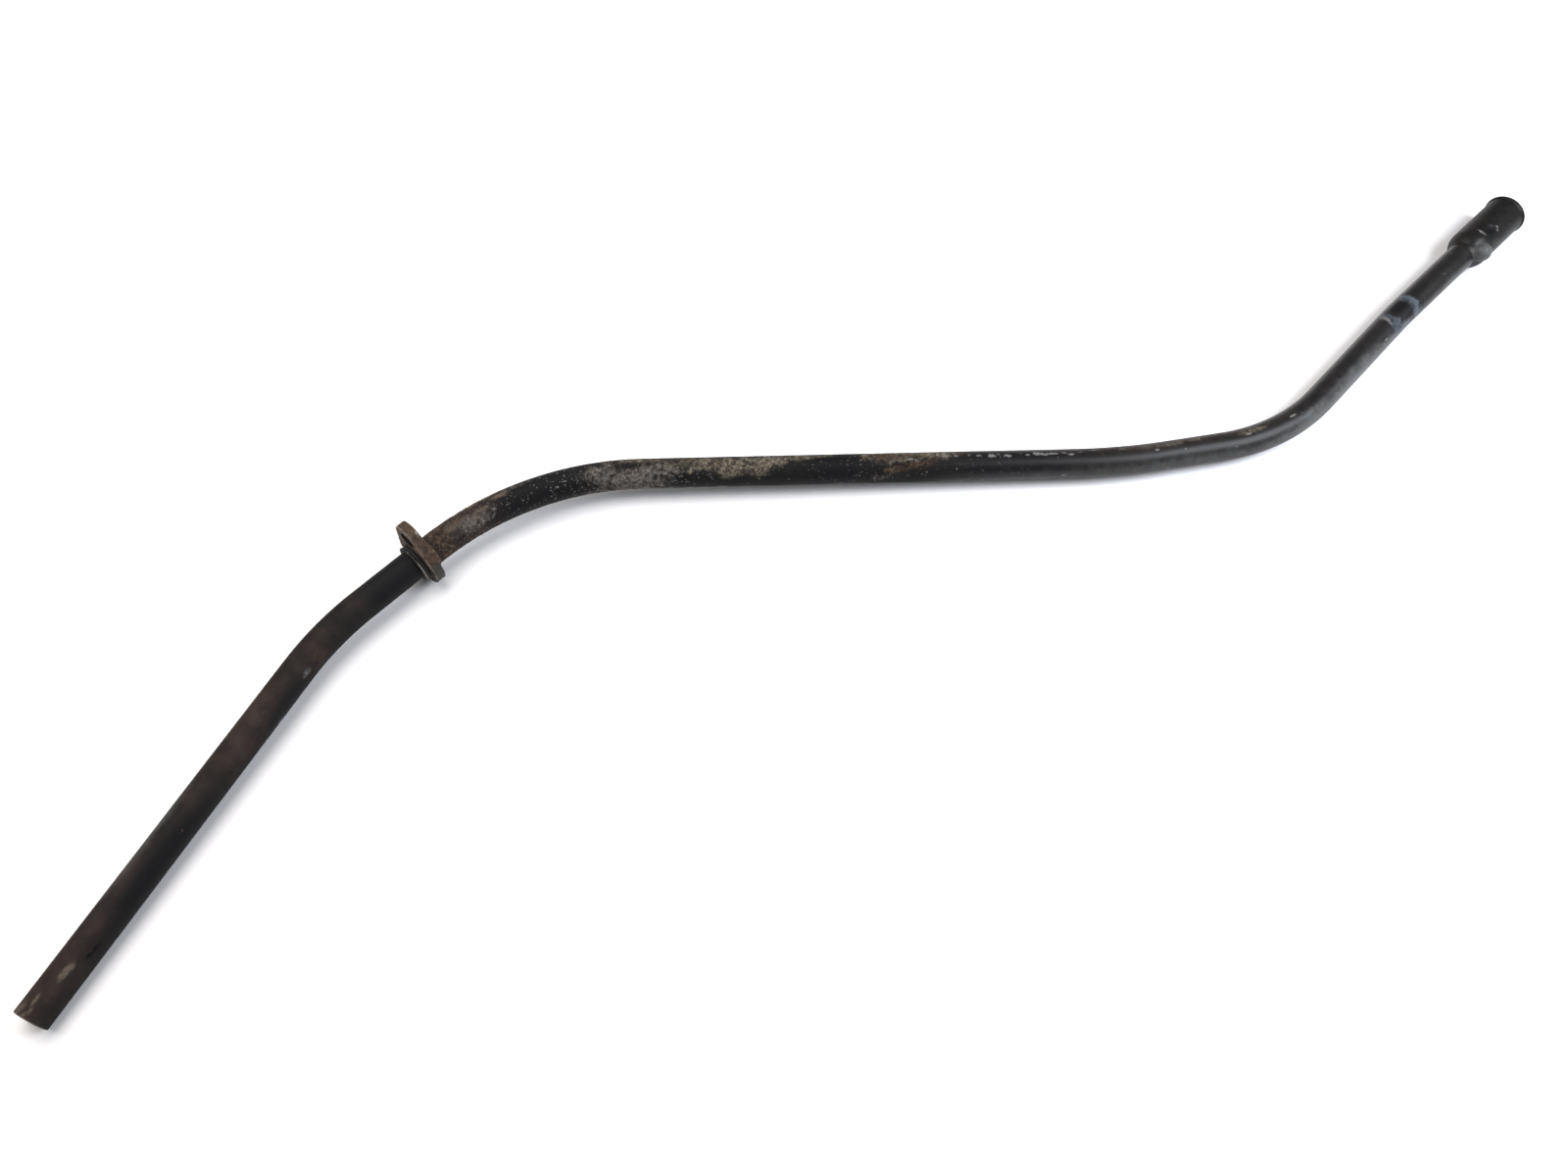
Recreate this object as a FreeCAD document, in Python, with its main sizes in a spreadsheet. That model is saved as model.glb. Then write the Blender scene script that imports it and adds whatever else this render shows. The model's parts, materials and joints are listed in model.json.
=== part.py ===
import FreeCAD, Part
import math
import os
import Sketcher

# Oil dipstick tube: a bent steel tube with a pressed head cup, a one-bolt flange and a rubber seal ring.
# It is drawn with the lower end at the origin and the first run along +X, then laid down as it comes to rest.

# Driving sizes in millimetres and degrees. A positive bend turns left, seen from above.
SIZES = {
    "tube_od": 12.0,
    "tube_wall": 1.0,
    "run_1": 138.0,
    "bend_1_angle": -16.0,
    "bend_1_radius": 116.0,
    "run_2": 33.8,
    "bend_2_angle": -42.9,
    "bend_2_radius": 118.0,
    "run_3": 176.2,
    "bend_3_angle": 8.2,
    "bend_3_radius": 274.0,
    "run_4": 25.0,
    "bend_4_angle": 34.5,
    "bend_4_radius": 90.0,
    "run_5": 59.6,
    "bend_5_angle": -2.6,
    "bend_5_radius": 160.0,
    "run_6": 53.6,
    "cup_od": 17.6,
    "cup_wall": 1.0,
    "cup_length": 37.8,
    "cup_shoulder": 8.8,
    "rim_flare": 0.6,
    "rim_height": 1.6,
    "rim_chamfer": 0.4,
    "mouth_chamfer": 0.8,
    "tube_standout": 3.0,
    "lug_ball": 4.1,
    "lug_height": 2.8,
    "lug_station": 3.7,
    "lug_angle": 51.0,
    "dent_ball": 9.0,
    "dent_depth": 0.6,
    "dent_station": 14.0,
    "dent_angle": 9.0,
    "plate_radius": 11.0,
    "plate_thickness": 4.0,
    "plate_chamfer": 0.4,
    "ear_radius": 6.7,
    "ear_angle": 78.0,
    "bolt_offset": 12.7,
    "bolt_hole": 6.6,
    "flange_setback": 0.7,
    "joint_gap": 0.05,
    "flange_braze_leg": 2.2,
    "seal_height": 1.7,
    "seal_width": 1.2,
    "seal_bulge": 0.5,
    "seal_crown": 0.6,
    "collar_reach": 1.75,
    "collar_height": 0.8,
    "collar_chamfer": 0.25,
}
# Sizes that follow from the driving ones
DERIVED = {
    "tube_radius": "tube_od / 2",
    "joint_radius": "tube_radius + joint_gap",
    "cup_radius": "cup_od / 2",
    "cup_inner": "cup_radius - cup_wall",
    "rim_radius": "cup_radius + rim_flare",
    "shoulder_axis": "cup_radius - cup_shoulder",
    "shoulder_height": "sqrt(cup_shoulder ^ 2 - (joint_radius - shoulder_axis) ^ 2)",
    "floor_height": "shoulder_height - sqrt((cup_shoulder - cup_wall) ^ 2 - (joint_radius - shoulder_axis) ^ 2)",
    "lug_reach": "cup_radius + lug_height - lug_ball",
    "dent_reach": "cup_radius - dent_depth + dent_ball",
    "seal_edge": "tube_radius + seal_width",
    "collar_radius": "tube_radius + collar_reach",
}
BENDS = 5
# Direction of the first run in the finished frame, in degrees from +X
FIRST_HEADING = 62.5
UP = FreeCAD.Vector(0, 0, 1)

doc = FreeCAD.newDocument("dipstick_tube")
sheet = doc.addObject("Spreadsheet::Sheet", "sizes")
cells = {alias: str(value) for alias, value in SIZES.items()}
cells.update({alias: "=" + formula for alias, formula in DERIVED.items()})
for row, (alias, content) in enumerate(cells.items(), start=1):
    sheet.set(f"A{row}", alias)
    sheet.set(f"B{row}", content)
    sheet.setAlias(f"B{row}", alias)
    sheet.recompute()


def size(alias):
    """Value of one named size."""
    return float(sheet.get(alias))


def trial(formula):
    """Value of a formula of named sizes, for the first drawing of a sketch."""
    sheet.set("D1", "=" + formula)
    sheet.recompute()
    value = float(sheet.get("D1"))
    sheet.clear("D1")
    return value


def bound(formula):
    """The same formula written for an object outside the sheet."""
    words = formula.replace("(", "( ").replace(")", " )").split()
    return " ".join(f"sizes.{word}" if word in cells else word for word in words)


def new_body(label):
    body = doc.addObject("PartDesign::Body", label)
    body.Label = label
    return body


def new_sketch(body, name, role):
    """Sketch on one of the body's own origin planes."""
    sketch = body.newObject("Sketcher::SketchObject", name)
    plane = next(item for item in body.Origin.OriginFeatures if item.Role == role)
    sketch.AttachmentSupport = [(plane, "")]
    sketch.MapMode = "FlatFace"
    return sketch


def drive(sketch, constraint, name, formula):
    """Add a named dimension to a sketch and bind it to the sheet."""
    index = sketch.addConstraint(constraint)
    sketch.renameConstraint(index, name)
    sketch.setExpression(f"Constraints.{name}", bound(formula))


def short_arc(centre, start, end):
    """Arc between two points, the short way round, drawn anticlockwise as a sketch needs it."""
    first = math.atan2(start.y - centre.y, start.x - centre.x)
    last = math.atan2(end.y - centre.y, end.x - centre.x)
    if math.sin(last - first) < 0:
        first, last = last, first
    if last < first:
        last += 2 * math.pi
    return Part.ArcOfCircle(Part.Circle(centre, UP, (start - centre).Length), first, last)


def end_at(sketch, index, point):
    """Number of the end of a sketch edge that lies at a point."""
    return 1 if sketch.getPoint(index, 1).distanceToPoint(point) < 1e-6 else 2


def outline(sketch, corners, rounds):
    """Closed outline through corners given as pairs of formulas.

    rounds maps the number of a side to the formulas of its radius and of its centre.
    """
    points = [FreeCAD.Vector(trial(x), trial(y), 0) for x, y in corners]
    count = len(points)
    for side, start in enumerate(points):
        end = points[(side + 1) % count]
        if side in rounds:
            radius, x, y = rounds[side]
            sketch.addGeometry(short_arc(FreeCAD.Vector(trial(x), trial(y), 0), start, end), False)
        else:
            sketch.addGeometry(Part.LineSegment(start, end), False)
    for side, point in enumerate(points):
        previous = (side - 1) % count
        sketch.addConstraint(Sketcher.Constraint(
            "Coincident", previous, end_at(sketch, previous, point), side, end_at(sketch, side, point)))
    for side, point in enumerate(points):
        end = end_at(sketch, side, point)
        place_point(sketch, side, end, point, f"corner_{side}", *corners[side])
    for side, (radius, x, y) in rounds.items():
        drive(sketch, Sketcher.Constraint("Radius", side, trial(radius)), f"round_{side}", radius)


def place_point(sketch, edge, end, point, name, x, y):
    """Bind a point's distances from the sketch's two axes."""
    if abs(point.x) < 1e-9:
        sketch.addConstraint(Sketcher.Constraint("PointOnObject", edge, end, -2))
    else:
        drive(sketch, Sketcher.Constraint("DistanceX", -1, 1, edge, end, point.x), f"{name}_x", x)
    if abs(point.y) < 1e-9:
        sketch.addConstraint(Sketcher.Constraint("PointOnObject", edge, end, -1))
    else:
        drive(sketch, Sketcher.Constraint("DistanceY", -1, 1, edge, end, point.y), f"{name}_y", y)


def turned(body, kind, name, corners, rounds):
    """Full turn of an outline about the body's Z axis, added or cut."""
    sketch = new_sketch(body, f"{name}_outline", "XZ_Plane")
    outline(sketch, corners, rounds)
    feature = body.newObject(kind, name)
    feature.Profile = sketch
    feature.ReferenceAxis = (sketch, ["V_Axis"])
    feature.Angle = 360.0
    doc.recompute()


def ball(body, kind, name, radius, reach, angle, station):
    """Sphere added to or cut from a turned wall, placed by its reach from the axis, angle and height."""
    feature = body.newObject(kind, name)
    feature.setExpression("Radius", bound(radius))
    feature.setExpression("Placement.Base.x", bound(f"{reach} * cos({angle})"))
    feature.setExpression("Placement.Base.y", bound(f"{reach} * sin({angle})"))
    feature.setExpression("Placement.Base.z", bound(station))
    doc.recompute()


def walk_route():
    """Runs and bends of the tube's centreline in order, from its lower end."""
    at = FreeCAD.Vector(0, 0, 0)
    heading = 0.0
    pieces = []
    for number in range(1, BENDS + 2):
        along = FreeCAD.Vector(math.cos(heading), math.sin(heading), 0)
        end = at + along * size(f"run_{number}")
        pieces.append({"start": at, "end": end, "along": along})
        at = end
        if number > BENDS:
            break
        angle = math.radians(size(f"bend_{number}_angle"))
        reach = math.copysign(size(f"bend_{number}_radius"), angle)
        centre = at + FreeCAD.Vector(-math.sin(heading), math.cos(heading), 0) * reach
        heading += angle
        end = centre - FreeCAD.Vector(-math.sin(heading), math.cos(heading), 0) * reach
        pieces.append({"start": at, "end": end, "centre": centre})
        at = end
    return pieces


def draw_route(sketch, pieces):
    """Centreline sketch: runs with their lengths and directions, joined by tangent bends."""
    for piece in pieces:
        if "centre" in piece:
            sketch.addGeometry(short_arc(piece["centre"], piece["start"], piece["end"]), False)
        else:
            sketch.addGeometry(Part.LineSegment(piece["start"], piece["end"]), False)
    sketch.addConstraint(Sketcher.Constraint("Coincident", 0, 1, -1, 1))
    sketch.addConstraint(Sketcher.Constraint("Horizontal", 0))
    for index, piece in enumerate(pieces[:-1]):
        joint = piece["end"]
        sketch.addConstraint(Sketcher.Constraint(
            "Tangent", index, end_at(sketch, index, joint), index + 1, end_at(sketch, index + 1, joint)))
    for number in range(1, BENDS + 2):
        run = 2 * (number - 1)
        drive(sketch, Sketcher.Constraint("Distance", run, size(f"run_{number}")), f"run_{number}", f"run_{number}")
        if number == 1:
            continue
        radius = f"bend_{number - 1}_radius"
        heading = " + ".join(f"bend_{bend}_angle" for bend in range(1, number))
        drive(sketch, Sketcher.Constraint("Radius", run - 1, size(radius)), radius, radius)
        drive(sketch, Sketcher.Constraint("Angle", run, math.radians(trial(heading))), f"heading_{number}", heading)


def ring_of_circles(sketch, diameters):
    """Circles about the sketch's origin with bound diameters."""
    for number, formula in enumerate(diameters):
        circle = sketch.addGeometry(Part.Circle(FreeCAD.Vector(0, 0, 0), UP, trial(formula) / 2), False)
        sketch.addConstraint(Sketcher.Constraint("Coincident", circle, 3, -1, 1))
        drive(sketch, Sketcher.Constraint("Diameter", circle, trial(formula)), f"circle_{number}", formula)


def build_tube(pieces):
    """Hollow tube swept along the centreline."""
    body = new_body("guide_tube")
    route = new_sketch(body, "tube_route", "XY_Plane")
    draw_route(route, pieces)
    section = new_sketch(body, "tube_section", "YZ_Plane")
    ring_of_circles(section, ["tube_od", "tube_od - 2 * tube_wall"])
    doc.recompute()
    sweep = body.newObject("PartDesign::AdditivePipe", "tube_sweep")
    sweep.Profile = section
    sweep.Spine = (route, [f"Edge{number}" for number in range(1, len(pieces) + 1)])
    doc.recompute()
    return body


def build_cup():
    """Pressed cup with a domed shoulder, a straight wall, a rolled rim, a solid lug and a dent."""
    body = new_body("head_cup")
    turned(body, "PartDesign::Revolution", "cup_outside", [
        ("0", "0"),
        ("joint_radius", "0"),
        ("cup_radius", "shoulder_height"),
        ("cup_radius", "cup_length - rim_height"),
        ("rim_radius", "cup_length - rim_height + rim_flare"),
        ("rim_radius", "cup_length - rim_chamfer"),
        ("rim_radius - rim_chamfer", "cup_length"),
        ("0", "cup_length"),
    ], {
        1: ("cup_shoulder", "shoulder_axis", "shoulder_height"),
    })
    ball(body, "PartDesign::AdditiveSphere", "lug", "lug_ball", "lug_reach", "lug_angle", "lug_station")
    turned(body, "PartDesign::Groove", "cup_inside", [
        ("0", "0 - cup_wall"),
        ("joint_radius", "0 - cup_wall"),
        ("joint_radius", "floor_height"),
        ("cup_inner", "shoulder_height"),
        ("cup_inner", "cup_length - mouth_chamfer"),
        ("cup_inner + mouth_chamfer", "cup_length"),
        ("cup_inner + mouth_chamfer", "cup_length + cup_wall"),
        ("0", "cup_length + cup_wall"),
    ], {
        2: ("cup_shoulder - cup_wall", "shoulder_axis", "shoulder_height"),
    })
    ball(body, "PartDesign::SubtractiveSphere", "dent", "dent_ball", "dent_reach", "dent_angle", "dent_station")
    return body


def build_flange():
    """Stamped plate with a round end about the tube and one ear with a bolt hole."""
    body = new_body("mounting_flange")
    sketch = new_sketch(body, "plate_outline", "XY_Plane")
    ring_of_circles(sketch, ["2 * joint_radius"])
    plate, ear, offset = size("plate_radius"), size("ear_radius"), size("bolt_offset")
    lean = math.asin((plate - ear) / offset)
    quarter = math.pi / 2
    origin = FreeCAD.Vector(0, 0, 0)
    bolt = FreeCAD.Vector(offset, 0, 0)
    low_plate = FreeCAD.Vector(plate * math.sin(lean), -plate * math.cos(lean), 0)
    low_ear = bolt + FreeCAD.Vector(ear * math.sin(lean), -ear * math.cos(lean), 0)
    high_ear = FreeCAD.Vector(low_ear.x, -low_ear.y, 0)
    high_plate = FreeCAD.Vector(low_plate.x, -low_plate.y, 0)
    round_end = sketch.addGeometry(
        Part.ArcOfCircle(Part.Circle(origin, UP, plate), quarter - lean, 3 * quarter + lean), False)
    low_side = sketch.addGeometry(Part.LineSegment(low_plate, low_ear), False)
    ear_end = sketch.addGeometry(Part.ArcOfCircle(Part.Circle(bolt, UP, ear), lean - quarter, quarter - lean), False)
    high_side = sketch.addGeometry(Part.LineSegment(high_ear, high_plate), False)
    hole = sketch.addGeometry(Part.Circle(bolt, UP, size("bolt_hole") / 2), False)
    loop = [round_end, low_side, ear_end, high_side]
    for first, second in zip(loop, loop[1:] + loop[:1]):
        sketch.addConstraint(Sketcher.Constraint("Tangent", first, 2, second, 1))
    sketch.addConstraint(Sketcher.Constraint("Coincident", round_end, 3, -1, 1))
    sketch.addConstraint(Sketcher.Constraint("PointOnObject", ear_end, 3, -1))
    sketch.addConstraint(Sketcher.Constraint("Coincident", hole, 3, ear_end, 3))
    drive(sketch, Sketcher.Constraint("DistanceX", -1, 1, ear_end, 3, offset), "bolt_offset", "bolt_offset")
    drive(sketch, Sketcher.Constraint("Radius", round_end, plate), "plate_radius", "plate_radius")
    drive(sketch, Sketcher.Constraint("Radius", ear_end, ear), "ear_radius", "ear_radius")
    drive(sketch, Sketcher.Constraint("Diameter", hole, size("bolt_hole")), "bolt_hole", "bolt_hole")
    pad = body.newObject("PartDesign::Pad", "plate")
    pad.Profile = sketch
    pad.setExpression("Length", bound("plate_thickness"))
    doc.recompute()
    rim = []
    for number, edge in enumerate(pad.Shape.Edges, start=1):
        level = edge.BoundBox.ZLength < 1e-6
        on_hole = isinstance(edge.Curve, Part.Circle) and edge.isClosed()
        if level and not on_hole:
            rim.append(f"Edge{number}")
    edging = body.newObject("PartDesign::Chamfer", "plate_edging")
    edging.Base = (pad, rim)
    edging.setExpression("Size", bound("plate_chamfer"))
    doc.recompute()
    return body


def build_flange_braze():
    """Sloping fillet of braze between the tube and the flange's upper face."""
    body = new_body("flange_braze")
    turned(body, "PartDesign::Revolution", "flange_braze_ring", [
        ("tube_radius", "0"),
        ("tube_radius + flange_braze_leg", "0"),
        ("tube_radius", "flange_braze_leg"),
    ], {})
    return body


def build_seal():
    """Rubber ring round the tube, squeezed flat between the flange and the collar so that its outside bulges."""
    body = new_body("seal_ring")
    turned(body, "PartDesign::Revolution", "squeezed_ring", [
        ("tube_radius", "0"),
        ("seal_edge", "0"),
        ("seal_edge + seal_bulge", "(seal_height - seal_crown) / 2"),
        ("seal_edge + seal_bulge", "(seal_height + seal_crown) / 2"),
        ("seal_edge", "seal_height"),
        ("tube_radius", "seal_height"),
    ], {})
    return body


def build_collar():
    """Thin steel ring that holds the rubber ring up."""
    body = new_body("seal_collar")
    turned(body, "PartDesign::Revolution", "collar_ring", [
        ("tube_radius", "0"),
        ("collar_radius - collar_chamfer", "0"),
        ("collar_radius", "collar_chamfer"),
        ("collar_radius", "collar_height - collar_chamfer"),
        ("collar_radius - collar_chamfer", "collar_height"),
        ("tube_radius", "collar_height"),
    ], {})
    return body


def on_run(run, distance, spin):
    """Frame on a run: Z along the tube, X turned by spin degrees from straight up towards the left side."""
    along = run["along"]
    left = UP.cross(along)
    x_axis = UP * math.cos(math.radians(spin)) + left * math.sin(math.radians(spin))
    turn = FreeCAD.Rotation(x_axis, along.cross(x_axis), along, "ZXY")
    return FreeCAD.Placement(run["start"] + along * distance, turn)


route_pieces = walk_route()
flange_run = route_pieces[2]
head_run = route_pieces[-1]

# Distances along the run that each ring, plate or cup starts at
flange_high = size("run_2") - size("flange_setback") - size("flange_braze_leg")
flange_low = flange_high - size("plate_thickness")
seal_low = flange_low - size("seal_height")
collar_low = seal_low - size("collar_height")
cup_low = size("run_6") - size("floor_height") - size("tube_standout")
flange_spin = 90.0 - size("ear_angle")

placed = [
    (build_tube(route_pieces), FreeCAD.Placement()),
    (build_cup(), on_run(head_run, cup_low, 0.0)),
    (build_flange(), on_run(flange_run, flange_low, flange_spin)),
    (build_flange_braze(), on_run(flange_run, flange_high, 0.0)),
    (build_seal(), on_run(flange_run, seal_low, 0.0)),
    (build_collar(), on_run(flange_run, collar_low, 0.0)),
]

# The tube lies on its lower end, the flange's round end and the cup's rim
foot = FreeCAD.Vector(0, 0, -size("tube_radius"))
flange_foot = on_run(flange_run, flange_low, 0.0).Base - UP * size("plate_radius")
rim_foot = on_run(head_run, cup_low + size("cup_length"), 0.0).Base - UP * size("rim_radius")
floor_normal = (rim_foot - foot).cross(flange_foot - foot).normalize()
if floor_normal.z < 0:
    floor_normal = floor_normal * -1
level = FreeCAD.Rotation(floor_normal, UP)
pose = FreeCAD.Placement(FreeCAD.Vector(0, 0, 0), FreeCAD.Rotation(UP, FIRST_HEADING) * level)
for node, local in placed:
    node.Placement = pose * local
doc.recompute()

# The frame's origin is the middle of the footprint, on the floor
box = FreeCAD.BoundBox()
for node, local in placed:
    box.add(node.Shape.optimalBoundingBox(False))
pose.Base = FreeCAD.Vector(-box.Center.x, -box.Center.y, -box.ZMin)
for node, local in placed:
    node.Placement = pose * local
doc.recompute()

for item in doc.Objects:
    if "Invalid" in item.State or "Error" in item.State:
        raise RuntimeError(f"{item.Name} did not build")
os.makedirs("parts", exist_ok=True)
for node, local in placed:
    shape = node.Shape
    if shape.isNull() or not shape.isValid():
        raise RuntimeError(f"{node.Label} has no sound shape")
    shape.exportStep(f"parts/{node.Label}.step")
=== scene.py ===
import json
import math

import bmesh
import bpy
import numpy as np
from mathutils import Matrix, Vector, noise
from mathutils.kdtree import KDTree


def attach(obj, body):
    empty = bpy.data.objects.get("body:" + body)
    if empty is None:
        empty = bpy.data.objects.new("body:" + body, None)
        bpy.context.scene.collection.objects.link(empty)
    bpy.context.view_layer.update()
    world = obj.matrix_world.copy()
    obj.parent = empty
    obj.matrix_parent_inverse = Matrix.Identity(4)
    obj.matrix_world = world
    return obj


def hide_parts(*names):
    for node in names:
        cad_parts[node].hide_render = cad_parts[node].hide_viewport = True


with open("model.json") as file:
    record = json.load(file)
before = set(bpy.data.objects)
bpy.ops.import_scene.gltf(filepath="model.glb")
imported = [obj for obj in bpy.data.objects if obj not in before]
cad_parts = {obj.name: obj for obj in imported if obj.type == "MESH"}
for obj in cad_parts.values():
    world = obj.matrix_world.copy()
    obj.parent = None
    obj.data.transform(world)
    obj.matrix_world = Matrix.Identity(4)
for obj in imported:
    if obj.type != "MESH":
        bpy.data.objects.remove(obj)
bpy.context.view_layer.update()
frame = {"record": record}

MM = 0.001

# Sizes of the part, in millimetres and degrees
TUBE_RADIUS = 6.0
TUBE_WALL = 1.0
ROUTE = (
    # straight run, turn to the left after it, radius of the turn
    (138.0, -16.0, 116.0),
    (33.8, -42.9, 118.0),
    (176.2, 8.2, 274.0),
    (25.0, 34.5, 90.0),
    (59.6, -2.6, 160.0),
    (53.6, 0.0, 0.0),
)

CUP_RADIUS = 8.8
CUP_INNER = 7.8
CUP_LENGTH = 37.8
JOINT_RADIUS = 6.05
RIM_RADIUS = 9.4
RIM_HEIGHT = 1.6
MOUTH_CHAMFER = 0.8
# the lug's ball and the ball that pressed the dent: distance of its middle from the cup's axis,
# degrees from straight up towards the right, height up the cup, radius
LUG = (7.5, 51.0, 3.7, 4.1)
DENT = (17.2, 9.0, 14.0, 9.0)

PLATE_RADIUS = 11.0
EAR_RADIUS = 6.7
BOLT_OFFSET = 12.7
BOLT_RADIUS = 3.3
PLATE_THICKNESS = 4.0
PLATE_ROUND = 0.4

BRAZE_LEG = 2.2
SEAL_HEIGHT = 1.7
SEAL_EDGE = 7.2
SEAL_BULGE = 0.5
COLLAR_HEIGHT = 0.8
COLLAR_RADIUS = 7.75
COLLAR_EDGE = 0.25

# gap that keeps a piece from sharing a face with the next one
HAIR = 0.01
RING_BORE = TUBE_RADIUS + HAIR

# How finely the pieces are drawn
ROUTE_STEP = 0.5
ROUTE_THINNING = 4
TUBE_SIDES = 64
TUBE_RINGS_APART = 0.9
BORE_RINGS_APART = 4.0
CUP_SIDES = 144
BRAZE_SIDES = 120
SEAL_SIDES = 112
COLLAR_SIDES = 128
PLATE_FACE_SIZE = 0.24

mounts = {entry["name"]: entry for entry in frame["record"]["mounts"]}


def mount(name):
    """Middle, direction and length of a mount of the part, in millimetres."""
    entry = mounts[name]
    return Vector(entry["pos_m"]) / MM, Vector(entry["axis"]).normalized(), entry["dims"]["length_mm"]


spigot_middle, spigot_out, spigot_length = mount("lower_spigot")
first_way = -spigot_out
head_middle, head_way = mount("head_mouth")[:2]
plane_up = first_way.cross(head_way).normalized()
if plane_up.z < 0:
    plane_up = -plane_up


def trace_route(step):
    """Centre line of the tube every step millimetres: points and directions, from the lower end."""
    spots, ways = [], []
    start = spigot_middle + spigot_out * (spigot_length / 2)
    way = first_way.copy()
    reached, target = 0.0, 0.0
    for run, turn, radius in ROUTE:
        while target <= reached + run:
            spots.append(start + way * (target - reached))
            ways.append(way.copy())
            target += step
        start = start + way * run
        reached += run
        if turn:
            side = plane_up.cross(way) * math.copysign(1.0, turn)
            length = math.radians(abs(turn)) * radius

            def on_bend(travel):
                angle = travel / radius
                spot = start + radius * (math.sin(angle) * way + (1 - math.cos(angle)) * side)
                return spot, (math.cos(angle) * way + math.sin(angle) * side).normalized()

            while target <= reached + length:
                spot, heading = on_bend(target - reached)
                spots.append(spot)
                ways.append(heading)
                target += step
            start, way = on_bend(length)
            reached += length
    spots.append(start)
    ways.append(way)
    return np.array([list(spot) for spot in spots]), np.array([list(way) for way in ways])


route_spots, route_ways = trace_route(ROUTE_STEP)
route_rights = np.cross(route_ways, np.array(plane_up))


# how much brighter the studio shows a surface than its own colour
STUDIO_LIGHT = 1.35


def tone(red, green, blue):
    """Linear colour that shows as a screen colour from 0 to 255 under the studio light."""
    def linear(value):
        value /= 255.0
        return value / 12.92 if value <= 0.04045 else ((value + 0.055) / 1.055) ** 2.4
    return (linear(red) / STUDIO_LIGHT, linear(green) / STUDIO_LIGHT, linear(blue) / STUDIO_LIGHT, 1.0)


class Nodes:
    """Adds nodes to one tree, each fed by sockets or plain values."""

    def __init__(self, tree):
        self.tree = tree

    def add(self, kind, feeds=None, **settings):
        """A new node with its settings and what feeds its inputs."""
        node = self.tree.nodes.new(kind)
        for name, value in settings.items():
            setattr(node, name, value)
        for name, source in (feeds or {}).items():
            self.feed(node.inputs[name], source)
        return node

    def feed(self, socket, source):
        """Links a socket to another one, or sets its plain value."""
        if isinstance(source, bpy.types.NodeSocket):
            self.tree.links.new(source, socket)
        else:
            socket.default_value = source

    def math(self, operation, first, second=0.0):
        return self.add("ShaderNodeMath", {0: first, 1: second}, operation=operation).outputs[0]

    def mix(self, factor, first, second):
        """A colour between two others."""
        node = self.add("ShaderNodeMix", data_type="RGBA")
        for index, source in ((0, factor), (6, first), (7, second)):
            self.feed(node.inputs[index], source)
        return node.outputs[2]

    def blend(self, factor, first, second):
        """A value between two others."""
        node = self.add("ShaderNodeMix", data_type="FLOAT")
        for index, source in ((0, factor), (2, first), (3, second)):
            self.feed(node.inputs[index], source)
        return node.outputs[0]

    def noise(self, place, scale, detail=4.0, rough=0.55, distortion=0.0):
        return self.add("ShaderNodeTexNoise", {
            "Vector": place, "Scale": scale, "Detail": detail, "Roughness": rough, "Distortion": distortion,
        }).outputs[0]

    def step(self, value, low, high, bottom=0.0, top=1.0):
        """A smooth step from bottom to top while the value goes from low to high."""
        return self.add("ShaderNodeMapRange", {
            "Value": value, "From Min": low, "From Max": high, "To Min": bottom, "To Max": top,
        }, interpolation_type="SMOOTHSTEP").outputs[0]

    def weight(self, name):
        """A weight that the mesh carries."""
        return self.add("ShaderNodeAttribute", attribute_name=name).outputs["Fac"]

    def group(self, tree, feeds):
        """The outputs of a node group placed in this tree."""
        kind = "ShaderNodeGroup" if tree.bl_idname == "ShaderNodeTree" else "GeometryNodeGroup"
        node = self.add(kind)
        node.node_tree = tree
        for name, source in feeds.items():
            self.feed(node.inputs[name], source)
        return node.outputs


SOCKETS = {
    "value": "NodeSocketFloat",
    "colour": "NodeSocketColor",
    "place": "NodeSocketVector",
    "count": "NodeSocketInt",
    "shape": "NodeSocketGeometry",
    "material": "NodeSocketMaterial",
}


def new_tree(kind, name, inputs, outputs):
    """A node group with named inputs and outputs: its nodes, its input sockets and its output node."""
    tree = bpy.data.node_groups.new(name, kind)
    for label, sort, value in inputs:
        socket = tree.interface.new_socket(label, in_out="INPUT", socket_type=SOCKETS[sort])
        if value is not None:
            socket.default_value = value
    for label, sort in outputs:
        tree.interface.new_socket(label, in_out="OUTPUT", socket_type=SOCKETS[sort])
    nodes = Nodes(tree)
    return nodes, nodes.add("NodeGroupInput").outputs, nodes.add("NodeGroupOutput")


def ragged_edge_group():
    """A soft weight cut to a patch with a ragged edge by a grain."""
    nodes, given, out = new_tree(
        "ShaderNodeTree", "ragged_edge",
        (("Weight", "value", 0.0), ("Grain", "value", 0.5),
         ("Raggedness", "value", 1.0), ("Softness", "value", 0.1)),
        (("Mask", "value"),),
    )
    swing = nodes.math("MULTIPLY", nodes.math("SUBTRACT", given["Grain"], 0.5), 2.0)
    swing = nodes.math("ADD", nodes.math("MULTIPLY", swing, given["Raggedness"]), 1.0)
    value = nodes.math("MULTIPLY", given["Weight"], swing)
    low = nodes.math("SUBTRACT", 0.5, given["Softness"])
    high = nodes.math("ADD", 0.5, given["Softness"])
    nodes.feed(out.inputs["Mask"], nodes.step(value, low, high))
    return nodes.tree


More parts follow.
